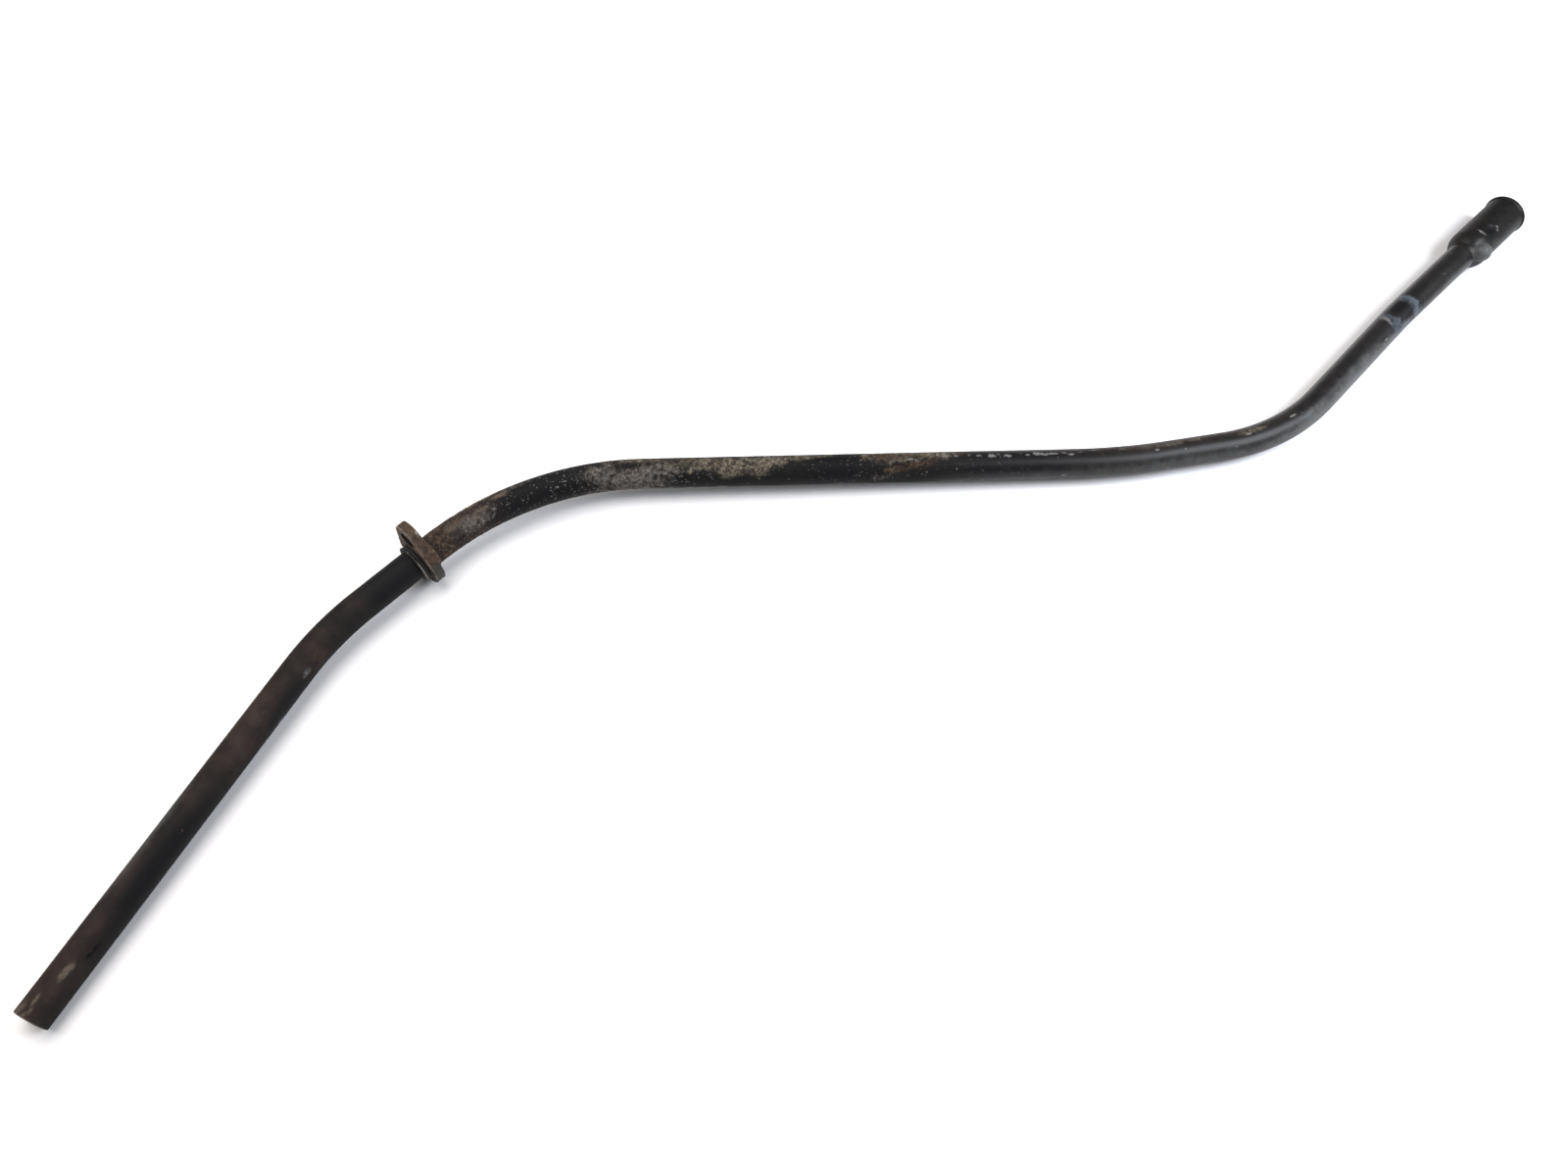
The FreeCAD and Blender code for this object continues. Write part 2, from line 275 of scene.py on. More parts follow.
def crust_group():
    """Mottled crust in three colours, with its height."""
    nodes, given, out = new_tree(
        "ShaderNodeTree", "mottled_crust",
        (("Place", "place", None), ("Dark", "colour", None), ("Middle", "colour", None),
         ("Light", "colour", None), ("Scale", "value", 300.0)),
        (("Colour", "colour"), ("Height", "value")),
    )
    coarse = nodes.noise(given["Place"], given["Scale"], detail=5.0, rough=0.6, distortion=0.4)
    fine = nodes.noise(given["Place"], nodes.math("MULTIPLY", given["Scale"], 4.7), rough=0.65)
    height = nodes.math("ADD", nodes.math("MULTIPLY", coarse, 0.65), nodes.math("MULTIPLY", fine, 0.35))
    colour = nodes.mix(nodes.step(height, 0.36, 0.52), given["Dark"], given["Middle"])
    colour = nodes.mix(nodes.step(height, 0.52, 0.66), colour, given["Light"])
    nodes.feed(out.inputs["Colour"], colour)
    nodes.feed(out.inputs["Height"], height)
    return nodes.tree


def specks_group():
    """Small ragged specks of mixed size, as a mask."""
    nodes, given, out = new_tree(
        "ShaderNodeTree", "small_specks",
        (("Place", "place", None), ("Scale", "value", 500.0),
         ("Size", "value", 0.3), ("Share", "value", 0.5)),
        (("Mask", "value"),),
    )
    cells = nodes.add("ShaderNodeTexVoronoi", {"Vector": given["Place"], "Scale": given["Scale"]})
    parts = nodes.add("ShaderNodeSeparateColor", {"Color": cells.outputs["Color"]}).outputs
    kept = nodes.math("LESS_THAN", parts[0], given["Share"])
    size = nodes.math("MULTIPLY", given["Size"], nodes.math("ADD", 0.2, parts[1]))
    wobble = nodes.noise(given["Place"], nodes.math("MULTIPLY", given["Scale"], 2.2), detail=5.0, rough=0.65)
    swing = nodes.math("MULTIPLY", nodes.math("SUBTRACT", wobble, 0.5), 1.1)
    reach = nodes.math("ADD", cells.outputs["Distance"], swing)
    near = nodes.step(nodes.math("SUBTRACT", size, reach), -0.04, 0.04)
    nodes.feed(out.inputs["Mask"], nodes.math("MULTIPLY", near, kept))
    return nodes.tree


ragged_edge = ragged_edge_group()
mottled_crust = crust_group()
small_specks = specks_group()


def patch(nodes, weight, grain, raggedness, softness):
    """Ragged mask of one of the mesh's weights."""
    return nodes.group(ragged_edge, {
        "Weight": nodes.weight(weight), "Grain": grain, "Raggedness": raggedness, "Softness": softness,
    })["Mask"]


def crust(nodes, place, dark, middle, light, scale):
    """Mottled crust, as the outputs of its group."""
    return nodes.group(mottled_crust, {
        "Place": place, "Dark": dark, "Middle": middle, "Light": light, "Scale": scale,
    })


def specks(nodes, place, scale, size, share):
    """Mask of small specks."""
    return nodes.group(small_specks, {"Place": place, "Scale": scale, "Size": size, "Share": share})["Mask"]


def coat(nodes, under, mask, mixer, first, second):
    """Two screen colours, mixed by a pattern and laid over another colour where the mask is."""
    return nodes.mix(mask, under, nodes.mix(mixer, tone(*first), tone(*second)))


def new_material(name):
    """A material with its nodes, its skin shader and the piece's own coordinates."""
    material = bpy.data.materials.new(name)
    material.use_nodes = True
    nodes = Nodes(material.node_tree)
    skin = material.node_tree.nodes["Principled BSDF"]
    place = nodes.add("ShaderNodeTexCoord").outputs["Object"]
    return material, nodes, skin, place


def finish_skin(nodes, skin, colour, rough, height, distance, metal, shine):
    """Feeds a finish and its bump into the skin shader."""
    bump = nodes.add("ShaderNodeBump", {"Height": height, "Distance": distance})
    bump.inputs["Strength"].default_value = 1.0
    for name, source in (("Base Color", colour), ("Roughness", rough), ("Metallic", metal),
                         ("Normal", bump.outputs["Normal"])):
        nodes.feed(skin.inputs[name], source)
    skin.inputs["Specular IOR Level"].default_value = shine


def worn_paint(name, base, film, shine):
    """Worn black paint on steel. The mesh's weights say where it is discoloured, chipped, crusted or
    darkened, and where a sheen, highlights, a lit side and shade are painted into its colour.
    """
    material, nodes, skin, place = new_material(name)
    broad = nodes.noise(place, 70.0, detail=5.0, rough=0.6)
    patchy = nodes.noise(place, 260.0, detail=7.0, rough=0.68, distortion=0.6)
    fine = nodes.noise(place, 1100.0, rough=0.6)
    gaps = nodes.noise(place, 640.0, detail=6.0, rough=0.7, distortion=0.5)
    gaps = nodes.step(gaps, 0.4, 0.52, 0.12, 1.0)

    def crusty(weight, raggedness, softness):
        return nodes.math("MULTIPLY", patch(nodes, weight, patchy, raggedness, softness), gaps)

    colour = nodes.mix(nodes.step(patchy, 0.35, 0.65), base, film)
    # pinkish brown discolouring; on the lower run it also paints the upper left side lighter, as the lamp
    # lights it
    stain_and_painted_light = patch(nodes, "stain_and_painted_light", broad, 0.9, 0.4)
    colour = coat(nodes, colour, stain_and_painted_light, nodes.step(broad, 0.36, 0.66), (44, 37, 35), (60, 50, 46))
    cool = patch(nodes, "cool", broad, 0.7, 0.35)
    colour = nodes.mix(cool, colour, tone(18, 18, 20))
    # painted sheen: lighter grey where the lamps would give the runs a sheen, and a painted highlight over
    # the lug
    painted_sheen = patch(nodes, "painted_sheen", patchy, 0.7, 0.4)
    colour = coat(nodes, colour, painted_sheen, fine, (74, 75, 75), (107, 108, 106))
    scuff = patch(nodes, "scuff", fine, 0.9, 0.36)
    colour = coat(nodes, colour, scuff, patchy, (80, 70, 60), (116, 105, 92))
    grey = crust(nodes, place, tone(48, 45, 43), tone(104, 98, 92), tone(154, 147, 140), 700.0)
    bloom = crusty("bloom", 1.5, 0.2)
    colour = nodes.mix(bloom, colour, grey["Colour"])
    khaki = crust(nodes, place, tone(58, 53, 45), tone(112, 105, 91), tone(156, 148, 131), 760.0)
    scale = crusty("scale", 1.2, 0.22)
    colour = nodes.mix(scale, colour, khaki["Colour"])
    brown = crust(nodes, place, tone(38, 31, 27), tone(74, 60, 50), tone(116, 98, 82), 640.0)
    rust = crusty("rust", 1.2, 0.24)
    colour = nodes.mix(rust, colour, brown["Colour"])
    rubbed = patch(nodes, "rubbed", patchy, 0.9, 0.2)
    colour = coat(nodes, colour, rubbed, nodes.step(patchy, 0.38, 0.6), (48, 53, 60), (86, 93, 101))
    # grey chipped paint; on the cup some of these places are painted highlights instead
    chips_and_highlights = patch(nodes, "chips_and_highlights", fine, 1.0, 0.08)
    colour = coat(nodes, colour, chips_and_highlights, patchy, (88, 87, 86), (146, 145, 143))
    spot = specks(nodes, place, scale=820.0, size=0.28, share=0.78)
    spot = nodes.math("MULTIPLY", spot, nodes.step(nodes.weight("specks"), 0.2, 0.7, 0.0, 0.8))
    colour = coat(nodes, colour, spot, patchy, (70, 69, 68), (128, 127, 125))
    # near-black: painted shade in the gouge near the lower end and in the cup's dent, and dark patches above
    # the flange
    soot_and_painted_shade = patch(nodes, "soot_and_painted_shade", fine, 0.5, 0.3)
    colour = nodes.mix(soot_and_painted_shade, colour, tone(13, 13, 13))
    inside = nodes.weight("inside")
    colour = coat(nodes, colour, inside, patchy, (34, 28, 25), (56, 44, 37))
    bare = patch(nodes, "bare", fine, 0.9, 0.2)
    colour = coat(nodes, colour, bare, patchy, (92, 84, 76), (150, 142, 132))

    dull = nodes.math("MAXIMUM", nodes.math("MAXIMUM", bloom, scale), nodes.math("MAXIMUM", rust, inside))
    satin = nodes.math("MULTIPLY", nodes.weight("satin"), nodes.math("SUBTRACT", 1.0, dull))
    matte_rough = nodes.step(patchy, 0.3, 0.7, 0.7, 0.84)
    satin_rough = nodes.step(patchy, 0.3, 0.7, 0.42, 0.52)
    rough = nodes.blend(satin, matte_rough, satin_rough)
    rough = nodes.blend(cool, rough, nodes.blend(satin, 0.62, 0.4))
    rough = nodes.blend(dull, rough, 0.88)
    lifted = nodes.math("MAXIMUM", scale, rust)
    lifted = nodes.math("MULTIPLY", lifted, nodes.math("ADD", 0.4, khaki["Height"]))
    risen = nodes.math("MULTIPLY", bloom, nodes.math("MULTIPLY", grey["Height"], 0.7))
    height = nodes.math("ADD", nodes.math("ADD", lifted, risen), nodes.math("MULTIPLY", fine, 0.16))
    height = nodes.math("ADD", height, nodes.math("MULTIPLY", nodes.math("SUBTRACT", spot, chips_and_highlights), 0.4))
    metal = nodes.math("MULTIPLY", bare, 0.6)
    finish_skin(nodes, skin, colour, rough, height, distance=0.00022, metal=metal, shine=shine)
    nodes.feed(skin.inputs["Coat Weight"], nodes.math("MULTIPLY", satin, 0.3))
    skin.inputs["Coat Roughness"].default_value = 0.36
    return material


def rusty_steel(name, dark, middle, light, scale, distance):
    """Rusty bare steel. The mesh's weights say where it is worn bright, pale or greasy, and where shade is
    painted near-black into a bolt hole.
    """
    material, nodes, skin, place = new_material(name)
    crusted = crust(nodes, place, dark, middle, light, scale)
    patchy = nodes.noise(place, 420.0, detail=6.0, rough=0.65, distortion=0.4)
    fine = nodes.noise(place, 1500.0, rough=0.6)
    grease = patch(nodes, "grease", patchy, 0.9, 0.3)
    colour = coat(nodes, crusted["Colour"], grease, fine, (30, 29, 24), (54, 51, 42))
    pale = patch(nodes, "pale", patchy, 1.1, 0.22)
    colour = coat(nodes, colour, pale, fine, (82, 67, 54), (118, 100, 82))
    # painted shade: near-black where the mesh marks a bolt hole
    colour = nodes.mix(nodes.weight("soot_and_painted_shade"), colour, tone(9, 9, 8))
    worn = patch(nodes, "worn", fine, 0.9, 0.16)
    colour = coat(nodes, colour, worn, patchy, (106, 101, 96), (164, 159, 152))
    spot = nodes.math("MULTIPLY", specks(nodes, place, scale=700.0, size=0.24, share=0.2), 0.8)
    colour = nodes.mix(spot, colour, tone(136, 116, 94))
    rough = nodes.blend(grease, nodes.blend(worn, 0.86, 0.5), 0.62)
    height = nodes.math("ADD", crusted["Height"], nodes.math("MULTIPLY", fine, 0.3))
    metal = nodes.math("MULTIPLY", worn, 0.35)
    finish_skin(nodes, skin, colour, rough, height, distance, metal, shine=0.35)
    return material


def seal_rubber():
    """Old dark rubber with dust in its grain."""
    material, nodes, skin, place = new_material("old seal rubber")
    patchy = nodes.noise(place, 380.0, detail=5.0, rough=0.6)
    fine = nodes.noise(place, 1700.0, detail=3.0, rough=0.6)
    colour = nodes.mix(nodes.step(patchy, 0.38, 0.66), tone(27, 28, 31), tone(48, 48, 49))
    spot = nodes.math("MULTIPLY", specks(nodes, place, scale=800.0, size=0.22, share=0.18), 0.7)
    colour = nodes.mix(spot, colour, tone(88, 80, 70))
    height = nodes.math("ADD", nodes.math("MULTIPLY", patchy, 0.6), nodes.math("MULTIPLY", fine, 0.3))
    rough = nodes.step(patchy, 0.3, 0.7, 0.6, 0.85)
    finish_skin(nodes, skin, colour, rough, height, distance=0.00015, metal=0.0, shine=0.4)
    return material


tube_paint = worn_paint("worn black tube paint", tone(24, 23, 23), tone(36, 34, 32), shine=0.12)
head_paint = worn_paint("worn head paint", tone(18, 17, 16), tone(28, 27, 25), shine=0.12)
flange_steel = rusty_steel(
    "rusty flange steel", tone(40, 31, 25), tone(74, 56, 43), tone(112, 89, 68),
    scale=620.0, distance=0.00028)
braze_metal = rusty_steel(
    "rusty braze", tone(38, 29, 22), tone(76, 54, 38), tone(112, 82, 56),
    scale=760.0, distance=0.00032)
collar_metal = rusty_steel(
    "dull collar steel", tone(32, 30, 32), tone(52, 48, 51), tone(78, 73, 75),
    scale=560.0, distance=0.0001)
scale_flakes = rusty_steel(
    "rust flakes", tone(44, 39, 36), tone(80, 73, 67), tone(122, 113, 106),
    scale=900.0, distance=0.00008)
rubber = seal_rubber()


def in_scene(name, data):
    """A new object of the scene for a mesh, a curve, a lamp or a camera."""
    piece = bpy.data.objects.new(name, data)
    bpy.context.scene.collection.objects.link(piece)
    return piece


def new_piece(name, mesh, material):
    """An object with one material, in the scene."""
    mesh.materials.clear()
    mesh.materials.append(material)
    return in_scene(name, mesh)


def mesh_of(name, corners, faces, sharp):
    """A smooth mesh from corners in millimetres, with edges crisp past a number of degrees."""
    mesh = bpy.data.meshes.new(name)
    mesh.from_pydata([tuple(corner) for corner in np.asarray(corners) * MM], [], faces)
    mesh.validate()
    mesh.shade_smooth()
    mesh.set_sharp_from_angle(angle=math.radians(sharp))
    return mesh


def settled(piece):
    """The piece with its modifiers made into plain mesh."""
    graph = bpy.context.evaluated_depsgraph_get()
    mesh = bpy.data.meshes.new_from_object(
        piece.evaluated_get(graph), preserve_all_data_layers=True, depsgraph=graph)
    old = piece.data
    name = piece.name
    bpy.data.objects.remove(piece)
    mesh.name = name
    done = in_scene(name, mesh)
    if isinstance(old, bpy.types.Mesh):
        bpy.data.meshes.remove(old)
    return done


def set_inputs(modifier, **values):
    """Sets a node modifier's inputs by their names."""
    for item in modifier.node_group.interface.items_tree:
        if item.item_type == "SOCKET" and item.in_out == "INPUT" and item.name in values:
            modifier[item.identifier] = values[item.name]


def corners_of(mesh):
    """Places of the corners, in millimetres."""
    flat = np.empty(len(mesh.vertices) * 3)
    mesh.vertices.foreach_get("co", flat)
    return flat.reshape(-1, 3) / MM


def normals_of(mesh):
    """Outward directions at the corners."""
    flat = np.empty(len(mesh.vertices) * 3)
    mesh.vertex_normals.foreach_get("vector", flat)
    return flat.reshape(-1, 3)


def move_corners(mesh, corners):
    """Moves the corners to places in millimetres."""
    mesh.vertices.foreach_set("co", (corners * MM).ravel())
    mesh.update()


def set_weight(mesh, name, values):
    """Keeps a weight from 0 to 1 on the mesh's corners."""
    layer = mesh.attributes.get(name) or mesh.attributes.new(name, "FLOAT", "POINT")
    layer.data.foreach_set("value", np.clip(values, 0.0, 1.0).astype(np.float32))


def grain(points, size, seed):
    """Smooth noise from -1 to 1 at points in millimetres, with features about size wide."""
    shift = Vector((seed * 17.3, seed * 5.1, seed * 9.7))
    return np.array([noise.noise(Vector(point) / size + shift) for point in points])


# how far the grain shifts the edge of an oval place, and how a weight falls: by half at the edge
EDGE_WOBBLE = 0.3
FALL_OFF = 0.693


def patches(first, second, places, wobble):
    """Soft weights of oval places: (first, second, half length, half width, strength)."""
    weights = np.zeros(len(first))
    for at, side, length, width, strength in places:
        turn = (second - side + 180.0) % 360.0 - 180.0
        reach = np.hypot((first - at) / length, turn / width) * (1 + EDGE_WOBBLE * wobble)
        weights = np.maximum(weights, strength * np.exp(-FALL_OFF * reach ** 2))
    return weights


def tube_tree():
    """Sweeps the round tube along its route."""
    nodes, given, out = new_tree(
        "GeometryNodeTree", "tube_along_route",
        (("Route", "shape", None), ("Outer radius", "value", 0.006), ("Ring spacing", "value", 0.00125),
         ("Sides", "count", 48), ("Paint", "material", None)),
        (("Tube", "shape"),),
    )
    even = nodes.add("GeometryNodeResampleCurve", {
        "Curve": given["Route"], "Length": given["Ring spacing"],
    }, mode="LENGTH")
    upright = nodes.add("GeometryNodeSetCurveNormal", {"Curve": even.outputs[0]}, mode="Z_UP")
    ring = nodes.add("GeometryNodeCurvePrimitiveCircle", {
        "Resolution": given["Sides"], "Radius": given["Outer radius"],
    })
    swept = nodes.add("GeometryNodeCurveToMesh", {
        "Curve": upright.outputs[0], "Profile Curve": ring.outputs[0],
    })
    real = nodes.add("GeometryNodeRealizeInstances", {"Geometry": swept.outputs[0]})
    painted = nodes.add("GeometryNodeSetMaterial", {"Geometry": real.outputs[0], "Material": given["Paint"]})
    nodes.feed(out.inputs["Tube"], painted.outputs[0])
    return nodes.tree


def flakes_tree():
    """Strews flat flakes over a surface, thickest where its scab weight is high."""
    nodes, given, out = new_tree(
        "GeometryNodeTree", "strewn_flakes",
        (("Surface", "shape", None), ("Density", "value", 150000.0), ("Smallest", "value", 0.0003),
         ("Largest", "value", 0.0008), ("Thickness", "value", 0.00014), ("Seed", "count", 5),
         ("Scale crust", "material", None)),
        (("Flakes", "shape"),),
    )

    def between(low, high, seed):
        """A random number for each flake."""
        drawn = nodes.add("FunctionNodeRandomValue", {2: low, 3: high, "Seed": seed}, data_type="FLOAT")
        return drawn.outputs[1]

    weight = nodes.add("GeometryNodeInputNamedAttribute", {"Name": "scabs"}, data_type="FLOAT").outputs[0]
    density = nodes.math("MULTIPLY", weight, given["Density"])
    spread = nodes.add("GeometryNodeDistributePointsOnFaces", {
        "Mesh": given["Surface"], "Density": density, "Seed": given["Seed"],
    }, distribute_method="RANDOM")
    flake = nodes.add("GeometryNodeMeshUVSphere", {"Segments": 7, "Rings": 4, "Radius": 1.0})
    wide = between(given["Smallest"], given["Largest"], given["Seed"])
    stretch = between(0.6, 1.3, seed=9)
    size = nodes.add("ShaderNodeCombineXYZ", {
        "X": wide, "Y": nodes.math("MULTIPLY", wide, stretch), "Z": given["Thickness"],
    }).outputs[0]
    spin = between(0.0, 6.283, seed=3)
    spun = nodes.add("FunctionNodeAxisAngleToRotation", {"Axis": (0.0, 0.0, 1.0), "Angle": spin}).outputs[0]
    facing = nodes.add("FunctionNodeRotateRotation", {
        "Rotation": spread.outputs["Rotation"], "Rotate By": spun,
    }, rotation_space="LOCAL").outputs[0]
    laid = nodes.add("GeometryNodeInstanceOnPoints", {
        "Points": spread.outputs["Points"], "Instance": flake.outputs[0], "Rotation": facing, "Scale": size,
    })
    real = nodes.add("GeometryNodeRealizeInstances", {"Geometry": laid.outputs[0]})
    smooth = nodes.add("GeometryNodeSetShadeSmooth", {"Geometry": real.outputs[0]})
    painted = nodes.add("GeometryNodeSetMaterial", {
        "Geometry": smooth.outputs[0], "Material": given["Scale crust"],
    })
    nodes.feed(out.inputs["Flakes"], painted.outputs[0])
    return nodes.tree


# where the tube's paint is worn, and where a sheen, a lit side and shade are painted on, in oval places:
# distance from the lower end, degrees from straight up towards the right, half length, half width in
# degrees, strength
WEAR = {
    # pinkish brown discolouring; the first three places, on the upper side of the lower run, paint that side
    # lighter as if lit
    "stain_and_painted_light": (
        (14, 0, 26, 70, 0.95), (44, -20, 22, 40, 0.8), (102, -10, 30, 90, 0.85), (146, 30, 10, 70, 0.95),
        (172, 10, 8, 60, 0.6), (214, 30, 18, 170, 0.95), (300, -44, 40, 30, 0.6), (372, -46, 26, 26, 0.8),
        (500, -42, 70, 34, 0.9), (604, -56, 42, 40, 0.5), (684, -64, 26, 50, 0.45),
    ),
    "cool": (
        (58, 66, 26, 66, 0.95), (126, 84, 14, 40, 0.9), (184, 40, 14, 150, 0.9), (252, 40, 20, 150, 1.0),
        (368, 50, 18, 120, 1.0), (312, 80, 26, 50, 0.8), (440, 60, 34, 120, 0.8), (650, -10, 5, 110, 0.9),
    ),
    # painted sheen: lighter grey along the lower right side of the middle and right runs, and on the lower
    # run's upper left side
    "painted_sheen": (
        (66, -46, 24, 30, 0.55), (520, 62, 60, 30, 0.45), (562, 62, 16, 26, 0.62),
        (576, 54, 16, 30, 0.85), (606, 56, 28, 30, 0.9), (632, 62, 14, 26, 0.72), (686, 80, 16, 40, 0.5),
    ),
    "scuff": (
        (17.4, 20, 3.2, 9, 1.0), (19.4, 27, 1.6, 6, 0.9), (6.5, -2, 2.4, 5, 0.8),
        (2.2, -30, 2.2, 14, 0.8), (3.0, 6, 1.5, 6, 0.7), (0.8, -34, 1.0, 10, 0.9), (1.0, -4, 1.0, 8, 0.8),
        (137.5, 58, 2.2, 5, 0.8), (26, 46, 0.7, 3, 0.8), (215, 4, 5, 20, 0.7), (223, 24, 3, 10, 0.7),
        (236, -18, 4, 12, 0.75), (219, 48, 2, 7, 0.7), (228, 4, 3, 9, 0.65),
    ),
    # near-black: the first two places are painted shade in the gouge; the others darken the tube above the
    # flange
    "soot_and_painted_shade": (
        (26.4, 50, 2.8, 5, 1.0), (24.2, 44, 1.6, 3, 0.8), (216, 56, 4, 20, 0.6), (229, 62, 5, 18, 0.55),
        (238, 20, 4, 22, 0.55), (209, -6, 3, 18, 0.5), (245, 60, 4, 26, 0.5),
    ),
    "bloom": (
        (222, 30, 11, 40, 0.72), (243, -34, 10, 24, 0.5), (288, 62, 14, 54, 0.92),
        (284, 112, 22, 24, 1.0), (276, 20, 9, 44, 0.7), (300, 24, 9, 44, 0.7), (376, 108, 14, 14, 0.6),
        (322, 116, 26, 18, 0.7), (394, -28, 14, 40, 0.6), (425, 108, 20, 16, 0.6), (390, 66, 8, 20, 0.55),
        (505, -20, 26, 16, 0.45),
    ),
    "scale": (
        (226, -44, 16, 18, 0.66), (292, -30, 14, 26, 0.62), (308, -10, 6, 26, 0.66),
        (317, -8, 7, 34, 0.9), (328, 8, 8, 42, 0.95), (338, 4, 8, 40, 0.95), (347, -16, 7, 28, 0.85),
        (355, -28, 6, 18, 0.8), (364, -34, 7, 13, 0.72), (312, 24, 4, 16, 0.6), (395, -26, 14, 36, 1.0),
        (409, -28, 10, 26, 1.0), (408, -26, 6, 18, 0.5), (519, -28, 7, 14, 0.62), (546, -14, 8, 14, 0.66),
        (532, -40, 14, 12, 0.5),
    ),
    "rust": (
        (208, 20, 4, 120, 0.9), (216, -14, 8, 34, 0.56), (226, 84, 9, 26, 0.5), (390, -18, 8, 28, 0.78),
        (400, -14, 7, 20, 0.7), (397, 26, 6, 16, 0.85), (404, 18, 5, 14, 0.8), (391, 44, 4, 14, 0.7),
        (409, 0, 4, 16, 0.6), (145, 36, 5, 20, 0.5), (478, -46, 14, 14, 0.65), (421, -22, 5, 14, 0.65),
        (96, 40, 1.4, 6, 0.75), (71, 42, 1.2, 5, 0.7), (118, 20, 1.2, 5, 0.7),
    ),
    "chips_and_highlights": (
        (414, -14, 2.2, 8, 0.7), (428, -12, 1.6, 7, 0.75), (436, -18, 1.4, 6, 0.7),
        (448, -10, 1.6, 6, 0.7), (455, -8, 2.0, 6, 0.75), (470, -20, 2.0, 6, 0.62),
        (476, -30, 3.0, 5, 0.6), (488, -24, 2.0, 5, 0.6), (419, -12, 1.6, 7, 0.75),
        (424, -16, 1.2, 6, 0.75), (433, -10, 2.0, 9, 0.85), (440, -8, 1.8, 8, 0.85),
        (445, -18, 1.0, 6, 0.7), (452, -16, 2.6, 8, 0.9), (458, -14, 3.0, 7, 0.9),
        (463, -18, 1.4, 5, 0.8), (466, -8, 1.8, 6, 0.9), (400, -2, 2.0, 6, 0.95), (403, 6, 1.2, 5, 0.8),
        (398, -12, 1.0, 5, 0.7), (463, 84, 1.2, 5, 0.75), (507, 90, 1.2, 4, 0.75), (502, 0, 1.4, 6, 0.8),
        (514, 12, 0.8, 4, 0.8), (536, 34, 0.8, 4, 0.85), (543, -4, 1.8, 8, 0.75), (566, -4, 2.2, 6, 0.8),
        (570, 6, 1.2, 4, 0.75), (631, 40, 1.8, 6, 0.8), (629, 48, 0.8, 4, 0.7),
        (640.6, -40, 0.6, 17, 0.95), (639.6, -14, 0.6, 17, 0.95), (638.8, 8, 0.6, 14, 0.9),
        (694, -34, 2.4, 4, 0.7), (681, 14, 1.0, 4, 0.7), (676, 30, 0.8, 3, 0.7), (226, 46, 1.0, 5, 0.75),
        (232, 26, 1.2, 6, 0.75), (238, 30, 0.9, 5, 0.75), (258, 34, 1.1, 5, 0.8), (262, 20, 0.8, 4, 0.75),
        (379, 60, 1.4, 6, 0.6), (376, 10, 1.0, 5, 0.6), (372, -4, 0.9, 4, 0.6), (380, -2, 1.2, 6, 0.62),
        (384, 4, 0.9, 4, 0.6), (137.6, 54, 1.0, 3, 0.7),
    ),
    "rubbed": (
        (138, 50, 2.6, 6, 0.72), (641, 36, 3.6, 46, 0.9), (641, -30, 2.0, 50, 0.8),
        (656.5, 10, 2.6, 62, 0.95), (657, 60, 3.6, 26, 0.9), (647, 60, 5, 18, 0.55),
        (120, 100, 6, 12, 0.55), (580, 96, 8, 18, 0.7), (570, 30, 6, 14, 0.5), (606, 44, 6, 12, 0.55),
    ),
    "specks": (
        (260, 40, 24, 100, 1.0), (226, 40, 14, 110, 0.95), (305, 60, 20, 70, 0.7), (376, 50, 22, 90, 0.5),
        (435, 50, 30, 80, 0.4), (530, 10, 60, 60, 0.34), (610, 0, 50, 70, 0.28), (100, 30, 40, 80, 0.26),
    ),
    "scabs": (
        (219, 30, 14, 170, 1.0), (256, 40, 24, 110, 0.4), (290, 60, 14, 90, 0.6), (332, 0, 20, 50, 0.6),
        (396, -6, 14, 50, 0.6), (440, -12, 28, 18, 0.25), (505, -40, 40, 16, 0.25),
    ),
}
# one deep gouge near the lower end, in the same terms
GOUGE = (26, 56, 2.4, 6, 1.0)

# how deep the wear goes into the tube
PIT_DEPTH = 0.26
UNEVEN_DEPTH = 0.02
CHIP_DEPTH = 0.08
GOUGE_DEPTH = 0.45

# the right run still has its satin: where that starts along the tube, and how long it takes to come in
SATIN_START = 404
SATIN_RAMP = 40

# the cut ends: how near to the route's end their open edges lie, bevel, angle past which an edge is
# crisp, length of the bared cut, how bare it is, and the lengths at both ends that stay unpitted
END_REACH = 8.0
CUT_BEVEL = 0.16
CUT_ANGLE = 50.0
CUT_LENGTH = 0.35
CUT_BARENESS = 0.62
UNPITTED_LOW = 1.5
UNPITTED_HIGH = 2.0


def turn_and_reach(corners, index):
    """Degrees from straight up towards the right, distance from the centre line, and the way from it."""
    away = corners - route_spots[index]
    away -= route_ways[index] * np.sum(away * route_ways[index], axis=1, keepdims=True)
    upward = away @ np.array(plane_up)
    right = np.sum(away * route_rights[index], axis=1)
    return np.degrees(np.arctan2(right, upward)), np.hypot(upward, right), away


def swept_tube(radius, spacing):
    """The bare tube surface of one radius along the route."""
    route = bpy.data.curves.new("tube_route", "CURVE")
    route.dimensions = "3D"
    spline = route.splines.new("POLY")
    picked = np.vstack([route_spots[:-1:ROUTE_THINNING], route_spots[-1:]])
    spline.points.add(len(picked) - 1)
    spline.points.foreach_set("co", np.hstack([picked * MM, np.ones((len(picked), 1))]).ravel())
    piece = in_scene("tube_sweep", route)
    sweep = piece.modifiers.new("tube along its route", "NODES")
    sweep.node_group = bpy.data.node_groups.get("tube_along_route") or tube_tree()
    set_inputs(sweep, **{
        "Outer radius": radius * MM, "Ring spacing": spacing * MM, "Sides": TUBE_SIDES, "Paint": tube_paint,
    })
    piece = settled(piece)
    bpy.data.curves.remove(route)
    mesh = piece.data
    bpy.data.objects.remove(piece)
    return mesh


